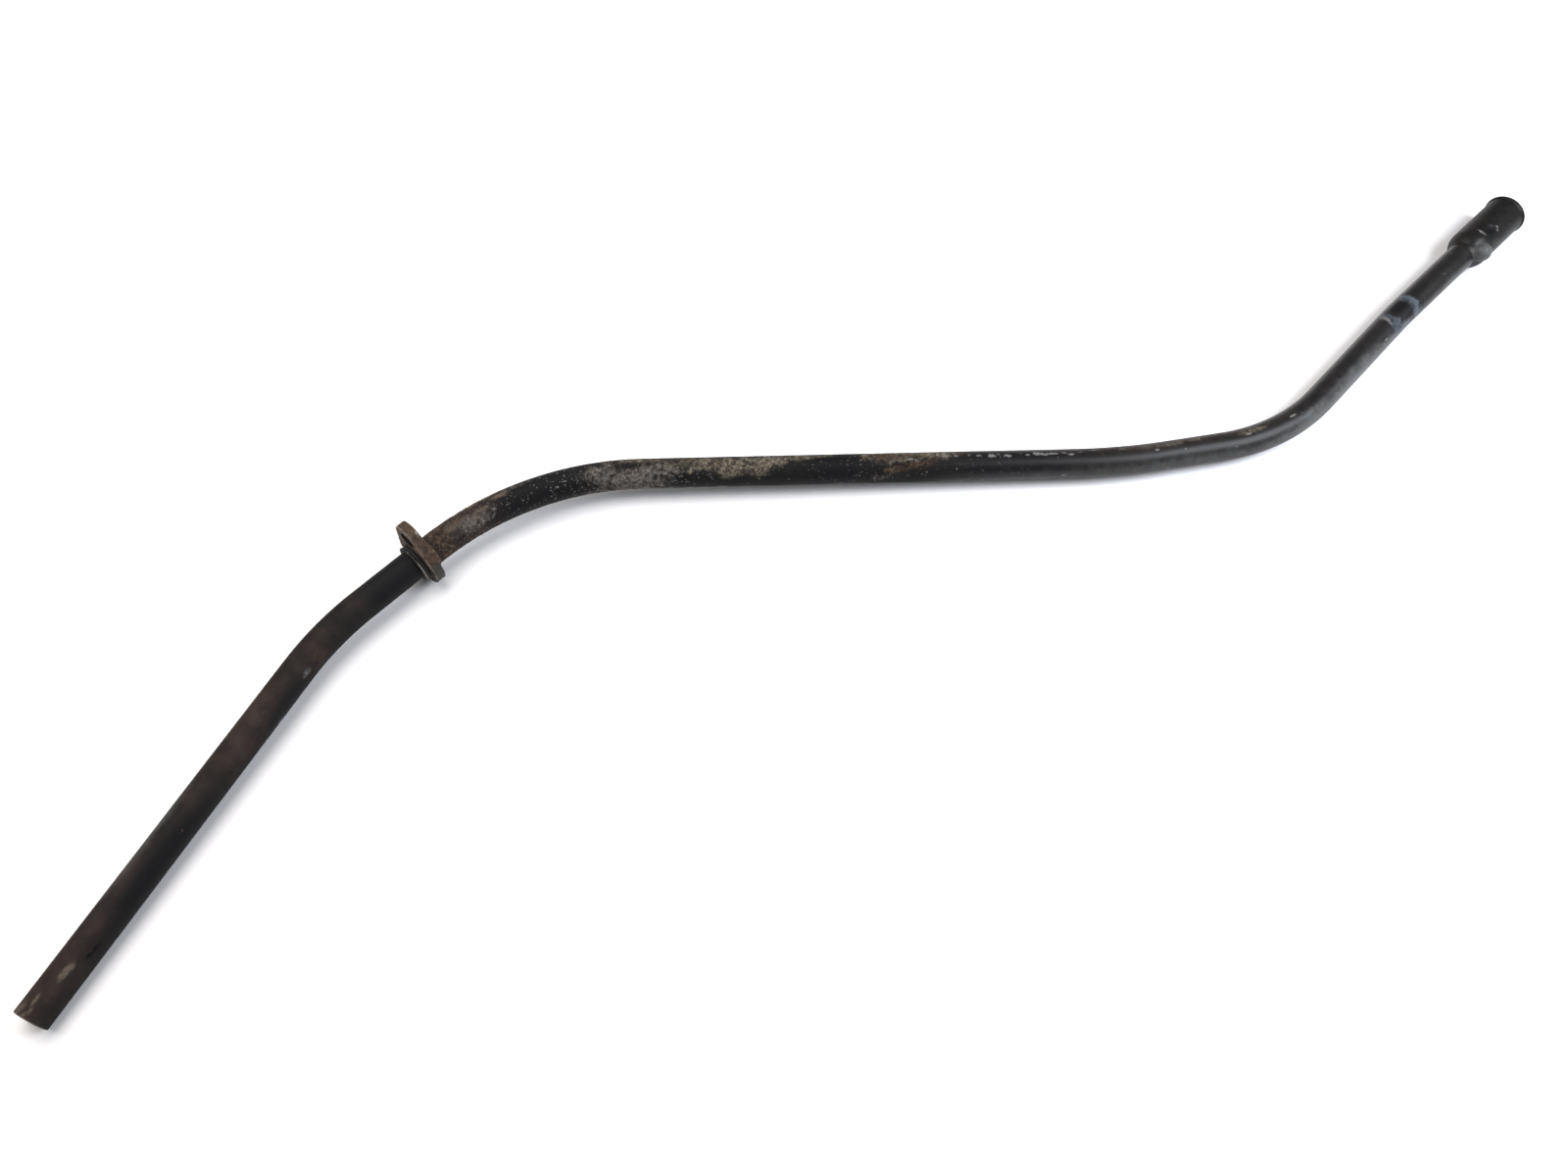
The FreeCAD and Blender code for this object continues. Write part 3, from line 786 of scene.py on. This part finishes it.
def make_tube():
    """The tube's outside and bore, with cut ends, pits, the weights of its wear and the sheen, lit side and
    shade painted on it.
    """
    shape = bmesh.new()
    walls = (
        (TUBE_RADIUS, TUBE_RINGS_APART, False),
        (TUBE_RADIUS - TUBE_WALL, BORE_RINGS_APART, True),
    )
    for radius, spacing, inward in walls:
        mesh = swept_tube(radius, spacing)
        leaning = normals_of(mesh)[0].dot(corners_of(mesh)[0] - route_spots[0])
        if (leaning < 0) != inward:
            mesh.flip_normals()
        shape.from_mesh(mesh)
        bpy.data.meshes.remove(mesh)
    for end in (Vector(route_spots[0]) * MM, Vector(route_spots[-1]) * MM):
        open_edges = [edge for edge in shape.edges
                      if edge.is_boundary and (edge.verts[0].co - end).length < END_REACH * MM]
        bmesh.ops.bridge_loops(shape, edges=open_edges)
    bmesh.ops.recalc_face_normals(shape, faces=shape.faces)
    mesh = bpy.data.meshes.new("tube_skin")
    shape.to_mesh(mesh)
    shape.free()
    piece = new_piece("tube_skin", mesh, tube_paint)
    edge = piece.modifiers.new("cut edges", "BEVEL")
    edge.width = CUT_BEVEL * MM
    edge.segments = 2
    edge.limit_method = "ANGLE"
    edge.angle_limit = math.radians(CUT_ANGLE)
    piece = settled(piece)
    mesh = piece.data
    mesh.shade_smooth()
    mesh.set_sharp_from_angle(angle=math.radians(CUT_ANGLE))

    corners = corners_of(mesh)
    tree = KDTree(len(route_spots))
    for index, spot in enumerate(route_spots):
        tree.insert(spot, index)
    tree.balance()
    index = np.array([tree.find(corner)[1] for corner in corners])
    along = ROUTE_STEP * index + np.sum((corners - route_spots[index]) * route_ways[index], axis=1)
    side, reach, away = turn_and_reach(corners, index)
    outside = reach > TUBE_RADIUS - 0.3
    wobble = grain(corners, size=5.0, seed=1) + 0.6 * grain(corners, size=2.2, seed=2)
    for name, places in WEAR.items():
        weight = patches(along, side, places, wobble)
        set_weight(mesh, name, np.where(outside, weight, 0.0))
    set_weight(mesh, "inside", np.where(outside, 0.0, 1.0))
    satin = np.clip((along - SATIN_START) / SATIN_RAMP, 0, 1)
    set_weight(mesh, "satin", np.where(outside, satin, 0.0))
    cut = (along < CUT_LENGTH) & (reach > TUBE_RADIUS - TUBE_WALL - 2 * HAIR)
    set_weight(mesh, "bare", np.where(cut, CUT_BARENESS, 0.0))

    crusted = patches(along, side, WEAR["scabs"] + WEAR["rust"] + WEAR["bloom"], wobble)
    pits = np.clip(grain(corners, size=1.5, seed=4) - 0.05, 0.0, 1.0)
    pits = pits + 0.6 * np.clip(grain(corners, size=3.2, seed=5), 0.0, 1.0)
    pits = PIT_DEPTH * crusted * pits + UNEVEN_DEPTH * np.clip(wobble, 0, 1)
    pits = pits + CHIP_DEPTH * patches(along, side, WEAR["chips_and_highlights"], wobble)
    gouge = patches(along, side, (GOUGE,), 0.3 * wobble)
    depth = np.where(outside, pits + GOUGE_DEPTH * np.clip(gouge - 0.3, 0, 1), 0.0)
    depth[(along < UNPITTED_LOW) | (along > along.max() - UNPITTED_HIGH)] = 0.0
    move_corners(mesh, corners - away / np.maximum(reach, 1e-6)[:, None] * depth[:, None])
    return piece


def make_flakes(surface):
    """Small rust flakes strewn over the tube's scabs."""
    bed = in_scene("tube_flakes", surface.data.copy())
    strew = bed.modifiers.new("strewn flakes", "NODES")
    strew.node_group = flakes_tree()
    set_inputs(strew, **{
        "Density": 260000.0, "Smallest": 0.14 * MM, "Largest": 0.46 * MM, "Thickness": 0.09 * MM,
        "Seed": 5, "Scale crust": scale_flakes,
    })
    return settled(bed)


def turned(name, profile, sides, axes, relief, sharp):
    """A closed round body from a closed profile of (radius, height), and its corners before axes place it.

    Relief, where it is given, makes new radii and heights; edges are crisp past sharp degrees.
    """
    profile = np.array(profile)
    angles = np.linspace(0.0, 2 * np.pi, sides, endpoint=False)
    radius, angle = np.meshgrid(profile[:, 0], angles, indexing="ij")
    height = np.repeat(profile[:, 1][:, None], sides, axis=1)
    if relief is not None:
        radius, height = relief(radius, height, np.degrees(angle))
    local = np.stack([radius * np.cos(angle), radius * np.sin(angle), height], axis=-1).reshape(-1, 3)
    placed = local @ np.array(axes.to_3x3()).T + np.array(axes.to_translation())
    rows = len(profile)
    faces = []
    for row in range(rows):
        after = (row + 1) % rows
        for column in range(sides):
            beside = (column + 1) % sides
            faces.append((row * sides + column, row * sides + beside,
                          after * sides + beside, after * sides + column))
    return mesh_of(name, placed, faces, sharp), local


def axes_at(origin, along, upward):
    """Frame with its height along the tube, its first axis upward and its second to the right."""
    upward = (upward - along * upward.dot(along)).normalized()
    right = along.cross(upward)
    rows = Matrix((upward, right, along)).transposed()
    return Matrix.Translation(origin) @ rows.to_4x4()


def arc(centre_r, centre_h, radius, start, end, count):
    """Points of an arc in a profile, angles in degrees from straight out."""
    return [(centre_r + radius * math.cos(math.radians(a)), centre_h + radius * math.sin(math.radians(a)))
            for a in np.linspace(start, end, count)]


def line(start, end, count):
    """Points from start up to but not including end."""
    return [tuple(point) for point in np.linspace(start, end, count, endpoint=False)]


def smooth_most(first, second, soft):
    """The greater of two, rounded where they meet."""
    share = np.clip(0.5 + 0.5 * (first - second) / soft, 0.0, 1.0)
    return second + (first - second) * share + soft * share * (1 - share)


# the paint line where the cup meets the tube: past the joint's radius, height up the cup
PAINT_LINE = ((-0.04, -0.9), (0.05, -0.62), (0.2, -0.25), (0.42, 0.14))
# the rim's worn outer edge: in from the rim's radius, down from the mouth
RIM_EDGE = ((0.0, 0.46), (0.03, 0.38), (0.2, 0.21), (0.37, 0.04), (0.46, 0.0))
# how softly the lug and the dent go over into the wall, how far round the dent reaches, and a radius
# past any wall
LUG_BLEND = 1.3
DENT_BLEND = 0.1
DENT_HALF_TURN = 60
FAR_OUT = 99.0
# where the cup's paint is worn, and where highlights, a sheen and shade are painted on, as for the tube,
# with heights up the cup
CUP_WEAR = {
    "stain_and_painted_light": ((14, -60, 16, 30, 0.55),),
    # painted highlight over the lug's lit face, and painted sheen down the cup's lower right side
    "painted_sheen": ((3.0, 47, 4.2, 29, 1.0), (20, 84, 18, 22, 0.5), (12.5, 52, 4, 16, 0.3)),
    # the first three places paint a glint on the lug's edge and the next two the lit far lip of the dent, as
    # painted highlights; the others are chipped paint and a scratch
    "chips_and_highlights": (
        (5.3, 43, 0.5, 4, 1.0), (4.6, 48.5, 0.5, 4, 1.0), (3.6, 53.5, 0.5, 4, 1.0), (16.8, 26, 0.8, 5, 0.8),
        (17.8, 18, 0.7, 7, 0.85), (9.2, 2, 0.6, 17, 0.98), (8.8, -4, 0.6, 5, 0.8), (26, 40, 0.7, 3, 0.6),
    ),
    "specks": ((18, 30, 22, 90, 0.3),),
    # painted shade, near-black, in the deepest part of the dent
    "soot_and_painted_shade": ((13.2, 14, 4.2, 20, 1.0), (11.4, 22, 1.8, 10, 0.9)),
}


def make_cup():
    """The head cup with its lug, its dent, the weights of its wear and the highlights and shade painted on
    it.
    """
    shoulder = math.sqrt(CUP_RADIUS ** 2 - JOINT_RADIUS ** 2)
    floor = shoulder - math.sqrt(CUP_INNER ** 2 - JOINT_RADIUS ** 2)
    origin = head_middle - head_way * ((shoulder + CUP_LENGTH - MOUTH_CHAMFER) / 2)
    axes = axes_at(origin, head_way, plane_up)
    low = -math.degrees(math.acos(JOINT_RADIUS / CUP_RADIUS))
    low_inner = -math.degrees(math.acos(JOINT_RADIUS / CUP_INNER))
    rim_low = CUP_LENGTH - RIM_HEIGHT
    chamfer_low = CUP_LENGTH - MOUTH_CHAMFER
    profile = (
        line((TUBE_RADIUS - 0.1, -3.0), (TUBE_RADIUS - 0.1, -1.0), 6)
        + [(JOINT_RADIUS + past, height) for past, height in PAINT_LINE]
        + arc(0, shoulder, CUP_RADIUS, low + 5, 0, 22)[:-1]
        + line((CUP_RADIUS, shoulder), (CUP_RADIUS, rim_low), 62)
        + [(CUP_RADIUS + 0.06, rim_low + 0.02), (CUP_RADIUS + 0.3, rim_low + 0.24)]
        + arc(RIM_RADIUS - 0.4, rim_low + 0.9, 0.4, -40, 0, 4)
        + [(RIM_RADIUS - inward, CUP_LENGTH - down) for inward, down in RIM_EDGE]
        + arc(CUP_INNER + MOUTH_CHAMFER, CUP_LENGTH - 0.5, 0.5, 90, 150, 5)
        + line((CUP_INNER + 0.1, chamfer_low - 0.1), (CUP_INNER, chamfer_low - 0.3), 2)
        + line((CUP_INNER, chamfer_low - 0.3), (CUP_INNER, shoulder), 40)
        + arc(0, shoulder, CUP_INNER, 0, low_inner, 14)
        + [(JOINT_RADIUS, floor * 0.5)]
    )

    def relief(radius, height, angle):
        on_shoulder = (height < 0.6 * shoulder) & (radius > JOINT_RADIUS + 0.02)
        outer = (radius > CUP_INNER + 0.5) | on_shoulder | (height < 0)
        outer &= np.hypot(radius, np.minimum(height - shoulder, 0.0)) > CUP_RADIUS - 0.2
        reach, at, level, ball = LUG
        turn = np.radians(angle - at)
        flat = ball ** 2 - (height - level) ** 2 - (reach * np.sin(turn)) ** 2
        bulge = reach * np.cos(turn) + np.sqrt(np.maximum(flat, 0.0))
        bulge = bulge - 0.9 * np.sqrt(np.maximum(-flat, 0.0))
        bulge = np.where(np.cos(turn) > 0, bulge, 0.0)
        lugged = smooth_most(radius, bulge, LUG_BLEND)
        reach, at, level, ball = DENT
        turn = np.radians((angle - at + 180) % 360 - 180)
        flat = ball ** 2 - (height - level) ** 2 - (reach * np.sin(turn)) ** 2
        hollow = reach * np.cos(turn) - np.sqrt(np.maximum(flat, 0.0))
        hollow = hollow + 3.0 * np.sqrt(np.maximum(-flat, 0.0))
        press = np.where(np.abs(np.degrees(turn)) < DENT_HALF_TURN, hollow, FAR_OUT)
        dented = -smooth_most(-lugged, -press, DENT_BLEND)
        return np.where(outer, dented, radius), height

    mesh, local = turned("cup_skin", profile, CUP_SIDES, axes, relief, sharp=50.0)
    height = local[:, 2]
    side = np.degrees(np.arctan2(local[:, 1], local[:, 0]))
    reach = np.hypot(local[:, 0], local[:, 1])
    inner = ((height > shoulder) & (reach < CUP_INNER + 0.3)) | (
        (height <= shoulder) & (np.hypot(reach, height - shoulder) < CUP_INNER + 0.3))
    wobble = grain(local, size=3.0, seed=7) + 0.5 * grain(local, size=1.4, seed=8)
    for name, places in CUP_WEAR.items():
        set_weight(mesh, name, np.where(inner, 0.0, patches(height, side, places, wobble)))
    set_weight(mesh, "inside", np.where(inner, 0.85, 0.0))
    set_weight(mesh, "satin", np.where(inner, 0.0, 0.6))
    return new_piece("cup_skin", mesh, head_paint)


bolt_middle = mount("bolt_hole")[0]
nearest = int(np.argmin(np.linalg.norm(route_spots - np.array(bolt_middle), axis=1)))
run_way = Vector(route_ways[nearest])
to_bolt = bolt_middle - Vector(route_spots[nearest])
flange_middle = Vector(route_spots[nearest]) + run_way * to_bolt.dot(run_way)
ear_way = (bolt_middle - flange_middle).normalized()
flange_axes = axes_at(flange_middle, run_way, ear_way)
tube_axes = axes_at(flange_middle, run_way, plane_up)

# turn at which the plate's round body goes over into its straight flanks
FLANK_LEAN = math.acos((PLATE_RADIUS - EAR_RADIUS) / BOLT_OFFSET)
# one bright fleck on the ear: out along the ear, across it, up from the plate's middle
EAR_FLECK = (17.9, 4.2, 1.3)
# distance from the tube's axis past which the plate's right edge is greasy
GREASY_FROM = 8.2


def teardrop(inset, count):
    """Outline of the plate: two arcs joined by straight flanks, moved inwards by inset."""
    large, small = PLATE_RADIUS - inset, EAR_RADIUS - inset
    ear = [(BOLT_OFFSET + small * math.cos(a), small * math.sin(a))
           for a in np.linspace(-FLANK_LEAN, FLANK_LEAN, count // 2)]
    body = [(large * math.cos(a), large * math.sin(a))
            for a in np.linspace(FLANK_LEAN, 2 * math.pi - FLANK_LEAN, count)]
    return ear + body


def circle(middle, radius, count):
    """Outline of a round hole with its middle on the way to the ear."""
    return [(middle + radius * math.cos(a), radius * math.sin(a))
            for a in np.linspace(0, 2 * math.pi, count, endpoint=False)]


def make_flange():
    """The flange plate with its two holes, rounded edges, pits, the weights of its rust and the shade
    painted near-black into its bolt hole.
    """
    shape = bmesh.new()
    half = PLATE_THICKNESS / 2
    levels = [(PLATE_ROUND * (1 - math.sin(a)), -half + PLATE_ROUND * (1 - math.cos(a)))
              for a in np.linspace(0, math.pi / 2, 5)]
    levels += [(inset, -height) for inset, height in reversed(levels)]
    rims = []
    for outline in (lambda inset: teardrop(inset, count=84),
                    lambda inset: circle(0.0, JOINT_RADIUS + inset * 0.3, count=72),
                    lambda inset: circle(BOLT_OFFSET, BOLT_RADIUS + inset, count=48)):
        loops = [[shape.verts.new((x, y, height)) for x, y in outline(inset)] for inset, height in levels]
        for lower, upper in zip(loops, loops[1:]):
            for index in range(len(lower)):
                after = (index + 1) % len(lower)
                shape.faces.new((lower[index], lower[after], upper[after], upper[index]))
        rims.append((loops[0], loops[-1]))
    for end in (0, 1):
        edges = []
        for rim_loops in rims:
            loop = rim_loops[end]
            edges += [shape.edges.get(ends) for ends in zip(loop, loop[1:] + loop[:1])]
        bmesh.ops.triangle_fill(shape, edges=edges, use_beauty=True)
    bmesh.ops.recalc_face_normals(shape, faces=shape.faces)
    bmesh.ops.scale(shape, vec=(MM, MM, MM), verts=shape.verts)
    mesh = bpy.data.meshes.new("flange_skin")
    shape.to_mesh(mesh)
    shape.free()
    piece = new_piece("flange_skin", mesh, flange_steel)
    dense = piece.modifiers.new("even faces", "REMESH")
    dense.mode = "VOXEL"
    dense.voxel_size = PLATE_FACE_SIZE * MM
    dense.use_smooth_shade = True
    piece = settled(piece)
    mesh = piece.data
    local = corners_of(mesh)
    x, y, z = local.T
    body = PLATE_RADIUS - np.hypot(x, y)
    flank = PLATE_RADIUS - (x * math.cos(FLANK_LEAN) + np.abs(y) * math.sin(FLANK_LEAN))
    ear = EAR_RADIUS - np.hypot(x - BOLT_OFFSET, y)
    past_body = x * math.sin(FLANK_LEAN) - np.abs(y) * math.cos(FLANK_LEAN)
    past_ear = (x - BOLT_OFFSET) * math.sin(FLANK_LEAN) - np.abs(y) * math.cos(FLANK_LEAN)
    rim = np.where(past_ear > 0, ear, np.where(past_body > 0, flank, body))
    wobble = grain(local, size=2.4, seed=11) + 0.5 * grain(local, size=1.1, seed=12)
    edge = np.exp(-np.maximum(rim - 0.1, 0.0) / 0.35) * np.exp(-np.abs(np.abs(z) - half) / 0.35)
    up_way = flange_axes.to_3x3().transposed() @ Vector(plane_up)
    toward = math.copysign(1.0, up_way.y)
    out, across, up = EAR_FLECK
    fleck = np.exp(-((x - out) / 1.2) ** 2 - ((toward * y - across) / 1.2) ** 2 - ((z - up) / 0.6) ** 2)
    rubbed = np.clip(1.7 * edge * (0.62 + 0.4 * wobble), 0, 1) * (x > -4) * np.where(z < 0, 1.0, 0.25)
    set_weight(mesh, "worn", np.maximum(0.8 * fleck, rubbed))
    face_up = np.clip((z - half + 0.5) / 0.4, 0, 1)
    face_down = np.clip((-z - half + 0.5) / 0.4, 0, 1)
    pale = np.clip(0.3 + 0.55 * np.exp(-((x - 15) / 6) ** 2) + 0.25 * wobble, 0, 1)
    pale *= np.maximum(np.maximum(0.8 * face_up, 1.25 * face_down), 0.5 * (x > 9))
    set_weight(mesh, "pale", pale * (np.hypot(x - BOLT_OFFSET, y) > BOLT_RADIUS + 0.5))
    lobe_way = flange_axes.to_3x3().transposed() @ Vector(route_rights[nearest])
    lobe = np.clip((x * lobe_way.x + y * lobe_way.y - GREASY_FROM + 0.6 * wobble) / 1.8, 0, 1)
    # painted shade: the bolt hole's wall and rim are marked to be painted near-black
    hole = np.clip((BOLT_RADIUS + 0.5 - np.hypot(x - BOLT_OFFSET, y)) / 0.3, 0, 1)
    grease = np.clip(0.45 - x / 14 + 0.2 * wobble - 0.3 * face_up, 0, 1)
    set_weight(mesh, "grease", np.maximum(grease, lobe))
    set_weight(mesh, "soot_and_painted_shade", hole)
    outward = normals_of(mesh)
    pits = 0.10 * np.clip(grain(local, size=1.2, seed=13), 0, 1)
    pits = pits + 0.14 * np.clip(grain(local, size=2.9, seed=14) + 0.1, 0, 1)
    pits *= np.clip((np.hypot(x, y) - JOINT_RADIUS) / 0.4, 0, 1)
    local = local - outward * pits[:, None]
    move_corners(mesh, local @ np.array(flange_axes.to_3x3()).T + np.array(flange_axes.to_translation()))
    mesh.shade_smooth()
    return piece


def rusty_weights(mesh, **weights):
    """Sets each weight that the rusty steel reads, to nothing where none is given."""
    for name in ("worn", "pale", "grease", "soot_and_painted_shade"):
        set_weight(mesh, name, weights.get(name, np.zeros(len(mesh.vertices))))


def ring_spots(radius, height, angle):
    """Places on a round wall of one radius, at each height and angle."""
    turn = np.radians(angle)
    return np.stack([radius * np.cos(turn), radius * np.sin(turn), height], -1).reshape(-1, 3)


def make_braze():
    """The lumpy fillet of braze above the flange."""
    base = PLATE_THICKNESS / 2 + 2 * HAIR
    toe = TUBE_RADIUS + 2 * HAIR
    slope = [(toe + BRAZE_LEG * (1 - share) ** 1.25, base + BRAZE_LEG * share ** 1.1)
             for share in np.linspace(0, 1, 16)]
    back = line((toe - HAIR, base + BRAZE_LEG * 0.9), (toe - HAIR, base + 0.1), 5)
    profile = line((toe, base), slope[0], 5) + slope + back

    def relief(radius, height, angle):
        spots = ring_spots(radius=3.4, height=height, angle=angle)
        lumps = grain(spots, size=1.0, seed=21) + 0.6 * grain(spots, size=0.45, seed=22)
        free = np.clip((radius - toe - 0.05) / 0.6, 0, 1)
        return radius + free * (0.22 * lumps.reshape(radius.shape) - 0.05), height

    mesh, local = turned("braze_skin", profile, BRAZE_SIDES, tube_axes, relief, sharp=60.0)
    side = np.degrees(np.arctan2(local[:, 1], local[:, 0]))
    wobble = grain(local, size=1.6, seed=23)
    rusty_weights(mesh, grease=np.clip(0.45 * np.abs(side) / 120 + 0.3 * wobble, 0, 1),
                  pale=np.clip(0.3 + 0.5 * wobble, 0, 1))
    return new_piece("braze_skin", mesh, braze_metal)


def make_seal():
    """The rubber ring under the flange, a little uneven where it bulges."""
    low = -PLATE_THICKNESS / 2 - SEAL_HEIGHT + HAIR
    high = -PLATE_THICKNESS / 2 - HAIR
    middle = (low + high) / 2
    round_off = SEAL_HEIGHT / 2 - 2 * HAIR
    bulge = [(SEAL_EDGE - 0.35 + (SEAL_BULGE + 0.33) * math.cos(a), middle + round_off * math.sin(a))
             for a in np.linspace(-math.pi / 2, math.pi / 2, 15)]
    profile = (
        line((RING_BORE, low), bulge[0], 4)
        + bulge
        + line((SEAL_EDGE - 0.5, high), (RING_BORE, high), 3)
        + line((RING_BORE, high), (RING_BORE, low), 4)
    )

    def relief(radius, height, angle):
        spots = ring_spots(radius=7.0, height=height, angle=angle)
        uneven = grain(spots, size=3.0, seed=31).reshape(radius.shape)
        return np.where(radius > SEAL_EDGE - 0.4, radius - 0.07 * np.clip(uneven, 0, 1), radius), height

    mesh = turned("seal_skin", profile, SEAL_SIDES, tube_axes, relief, sharp=60.0)[0]
    return new_piece("seal_skin", mesh, rubber)


def make_collar():
    """The thin steel ring under the seal, rubbed along its edge."""
    high = -PLATE_THICKNESS / 2 - SEAL_HEIGHT - HAIR
    low = high - COLLAR_HEIGHT + 2 * HAIR
    outer = COLLAR_RADIUS - COLLAR_EDGE
    profile = (
        line((RING_BORE, low), (outer, low), 6)
        + arc(outer, low + COLLAR_EDGE, COLLAR_EDGE, -90, 0, 6)
        + arc(outer, high - COLLAR_EDGE, COLLAR_EDGE, 0, 90, 6)
        + line((outer - 0.2, high), (RING_BORE, high), 5)
        + line((RING_BORE, high), (RING_BORE, low), 3)
    )
    mesh, local = turned("collar_skin", profile, COLLAR_SIDES, tube_axes, relief=None, sharp=60.0)
    reach = np.hypot(local[:, 0], local[:, 1])
    wobble = grain(local, size=2.6, seed=41)
    side = np.degrees(np.arctan2(local[:, 1], local[:, 0]))
    rubbed = np.clip((reach - outer - 0.14) / 0.1, 0, 1) * np.exp(-((side - 70) / 60) ** 2)
    rusty_weights(mesh, worn=rubbed * np.clip(0.8 + 0.5 * wobble, 0, 1),
                  grease=np.clip(0.3 + 0.4 * wobble, 0, 1))
    return new_piece("collar_skin", mesh, collar_metal)


tube = make_tube()
flakes = make_flakes(tube)
flake_grease = 0.35 + 0.5 * grain(corners_of(flakes.data), size=2.0, seed=51)
rusty_weights(flakes.data, grease=np.clip(flake_grease, 0, 1))
cup = make_cup()
flange = make_flange()
braze = make_braze()
seal = make_seal()
collar = make_collar()

for piece, node, slot in (
    (tube, "guide_tube", "tube_paint"),
    (cup, "head_cup", "head_paint"),
    (flange, "mounting_flange", "rusty_steel"),
    (braze, "flange_braze", "braze"),
    (seal, "seal_ring", "seal_rubber"),
    (collar, "seal_collar", "collar_steel"),
):
    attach(piece, "root")
    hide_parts(node)
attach(flakes, "root")


# The stage, in metres
FLOOR_HALF = 4.0
FLOOR_WHITE = (0.95, 0.95, 0.95, 1.0)
ROOM_WHITE = (1.0, 1.0, 1.0, 1.0)
ROOM_LIGHT = 0.22


def make_floor():
    """A wide pale floor under the part."""
    mesh = bpy.data.meshes.new("floor")
    near, far = -FLOOR_HALF, FLOOR_HALF
    mesh.from_pydata([(near, near, 0), (far, near, 0), (far, far, 0), (near, far, 0)], [], [(0, 1, 2, 3)])
    material = bpy.data.materials.new("plain pale floor")
    material.use_nodes = True
    skin = material.node_tree.nodes["Principled BSDF"]
    skin.inputs["Base Color"].default_value = FLOOR_WHITE
    skin.inputs["Roughness"].default_value = 0.9
    skin.inputs["Specular IOR Level"].default_value = 0.0
    return new_piece("floor", mesh, material)


make_floor()


def soft_light(name, place, target, size, power, colour):
    """A round soft lamp at a place, turned to a target."""
    lamp = bpy.data.lights.new(name, "AREA")
    lamp.shape = "DISK"
    lamp.size = size
    lamp.energy = power
    lamp.color = colour
    light = in_scene(name, lamp)
    light.location = place
    light.rotation_euler = (Vector(target) - Vector(place)).to_track_quat("-Z", "Y").to_euler()


soft_light("light from the upper left", place=(-0.42, 0.14, 0.66), target=(-0.36, 0.04, 0.0),
           size=0.8, power=6.9, colour=(1.04, 0.99, 0.965))
soft_light("light from the lower right", place=(0.52, -0.03, 0.48), target=(0.2, 0.08, 0.0),
           size=0.42, power=5.0, colour=(0.94, 0.98, 1.07))

world = bpy.data.worlds.new("pale room")
world.use_nodes = True
background = world.node_tree.nodes["Background"]
background.inputs["Color"].default_value = ROOM_WHITE
background.inputs["Strength"].default_value = ROOM_LIGHT
bpy.context.scene.world = world
bpy.context.scene.view_settings.view_transform = "Standard"

# The camera, fitted to the tube: its place, its own right, down and forward directions, and its lens in
# millimetres
CAMERA_PLACE = (-0.065843, -0.257756, 0.437353)
CAMERA_RIGHT = Vector((0.999303, -0.001971, 0.03729))
CAMERA_DOWN = Vector((0.016086, -0.878484, -0.477501))
CAMERA_FORWARD = Vector((0.0337, 0.477768, -0.877839))
SENSOR_WIDTH = 36.0
LENS = 29.25

camera_data = bpy.data.cameras.new("camera")
camera_data.sensor_width = SENSOR_WIDTH
camera_data.lens = LENS
camera_data.clip_start = 0.01
camera = in_scene("camera", camera_data)
turn = Matrix((CAMERA_RIGHT, -CAMERA_DOWN, -CAMERA_FORWARD)).transposed().to_4x4()
camera.matrix_world = Matrix.Translation(CAMERA_PLACE) @ turn
bpy.context.scene.camera = camera
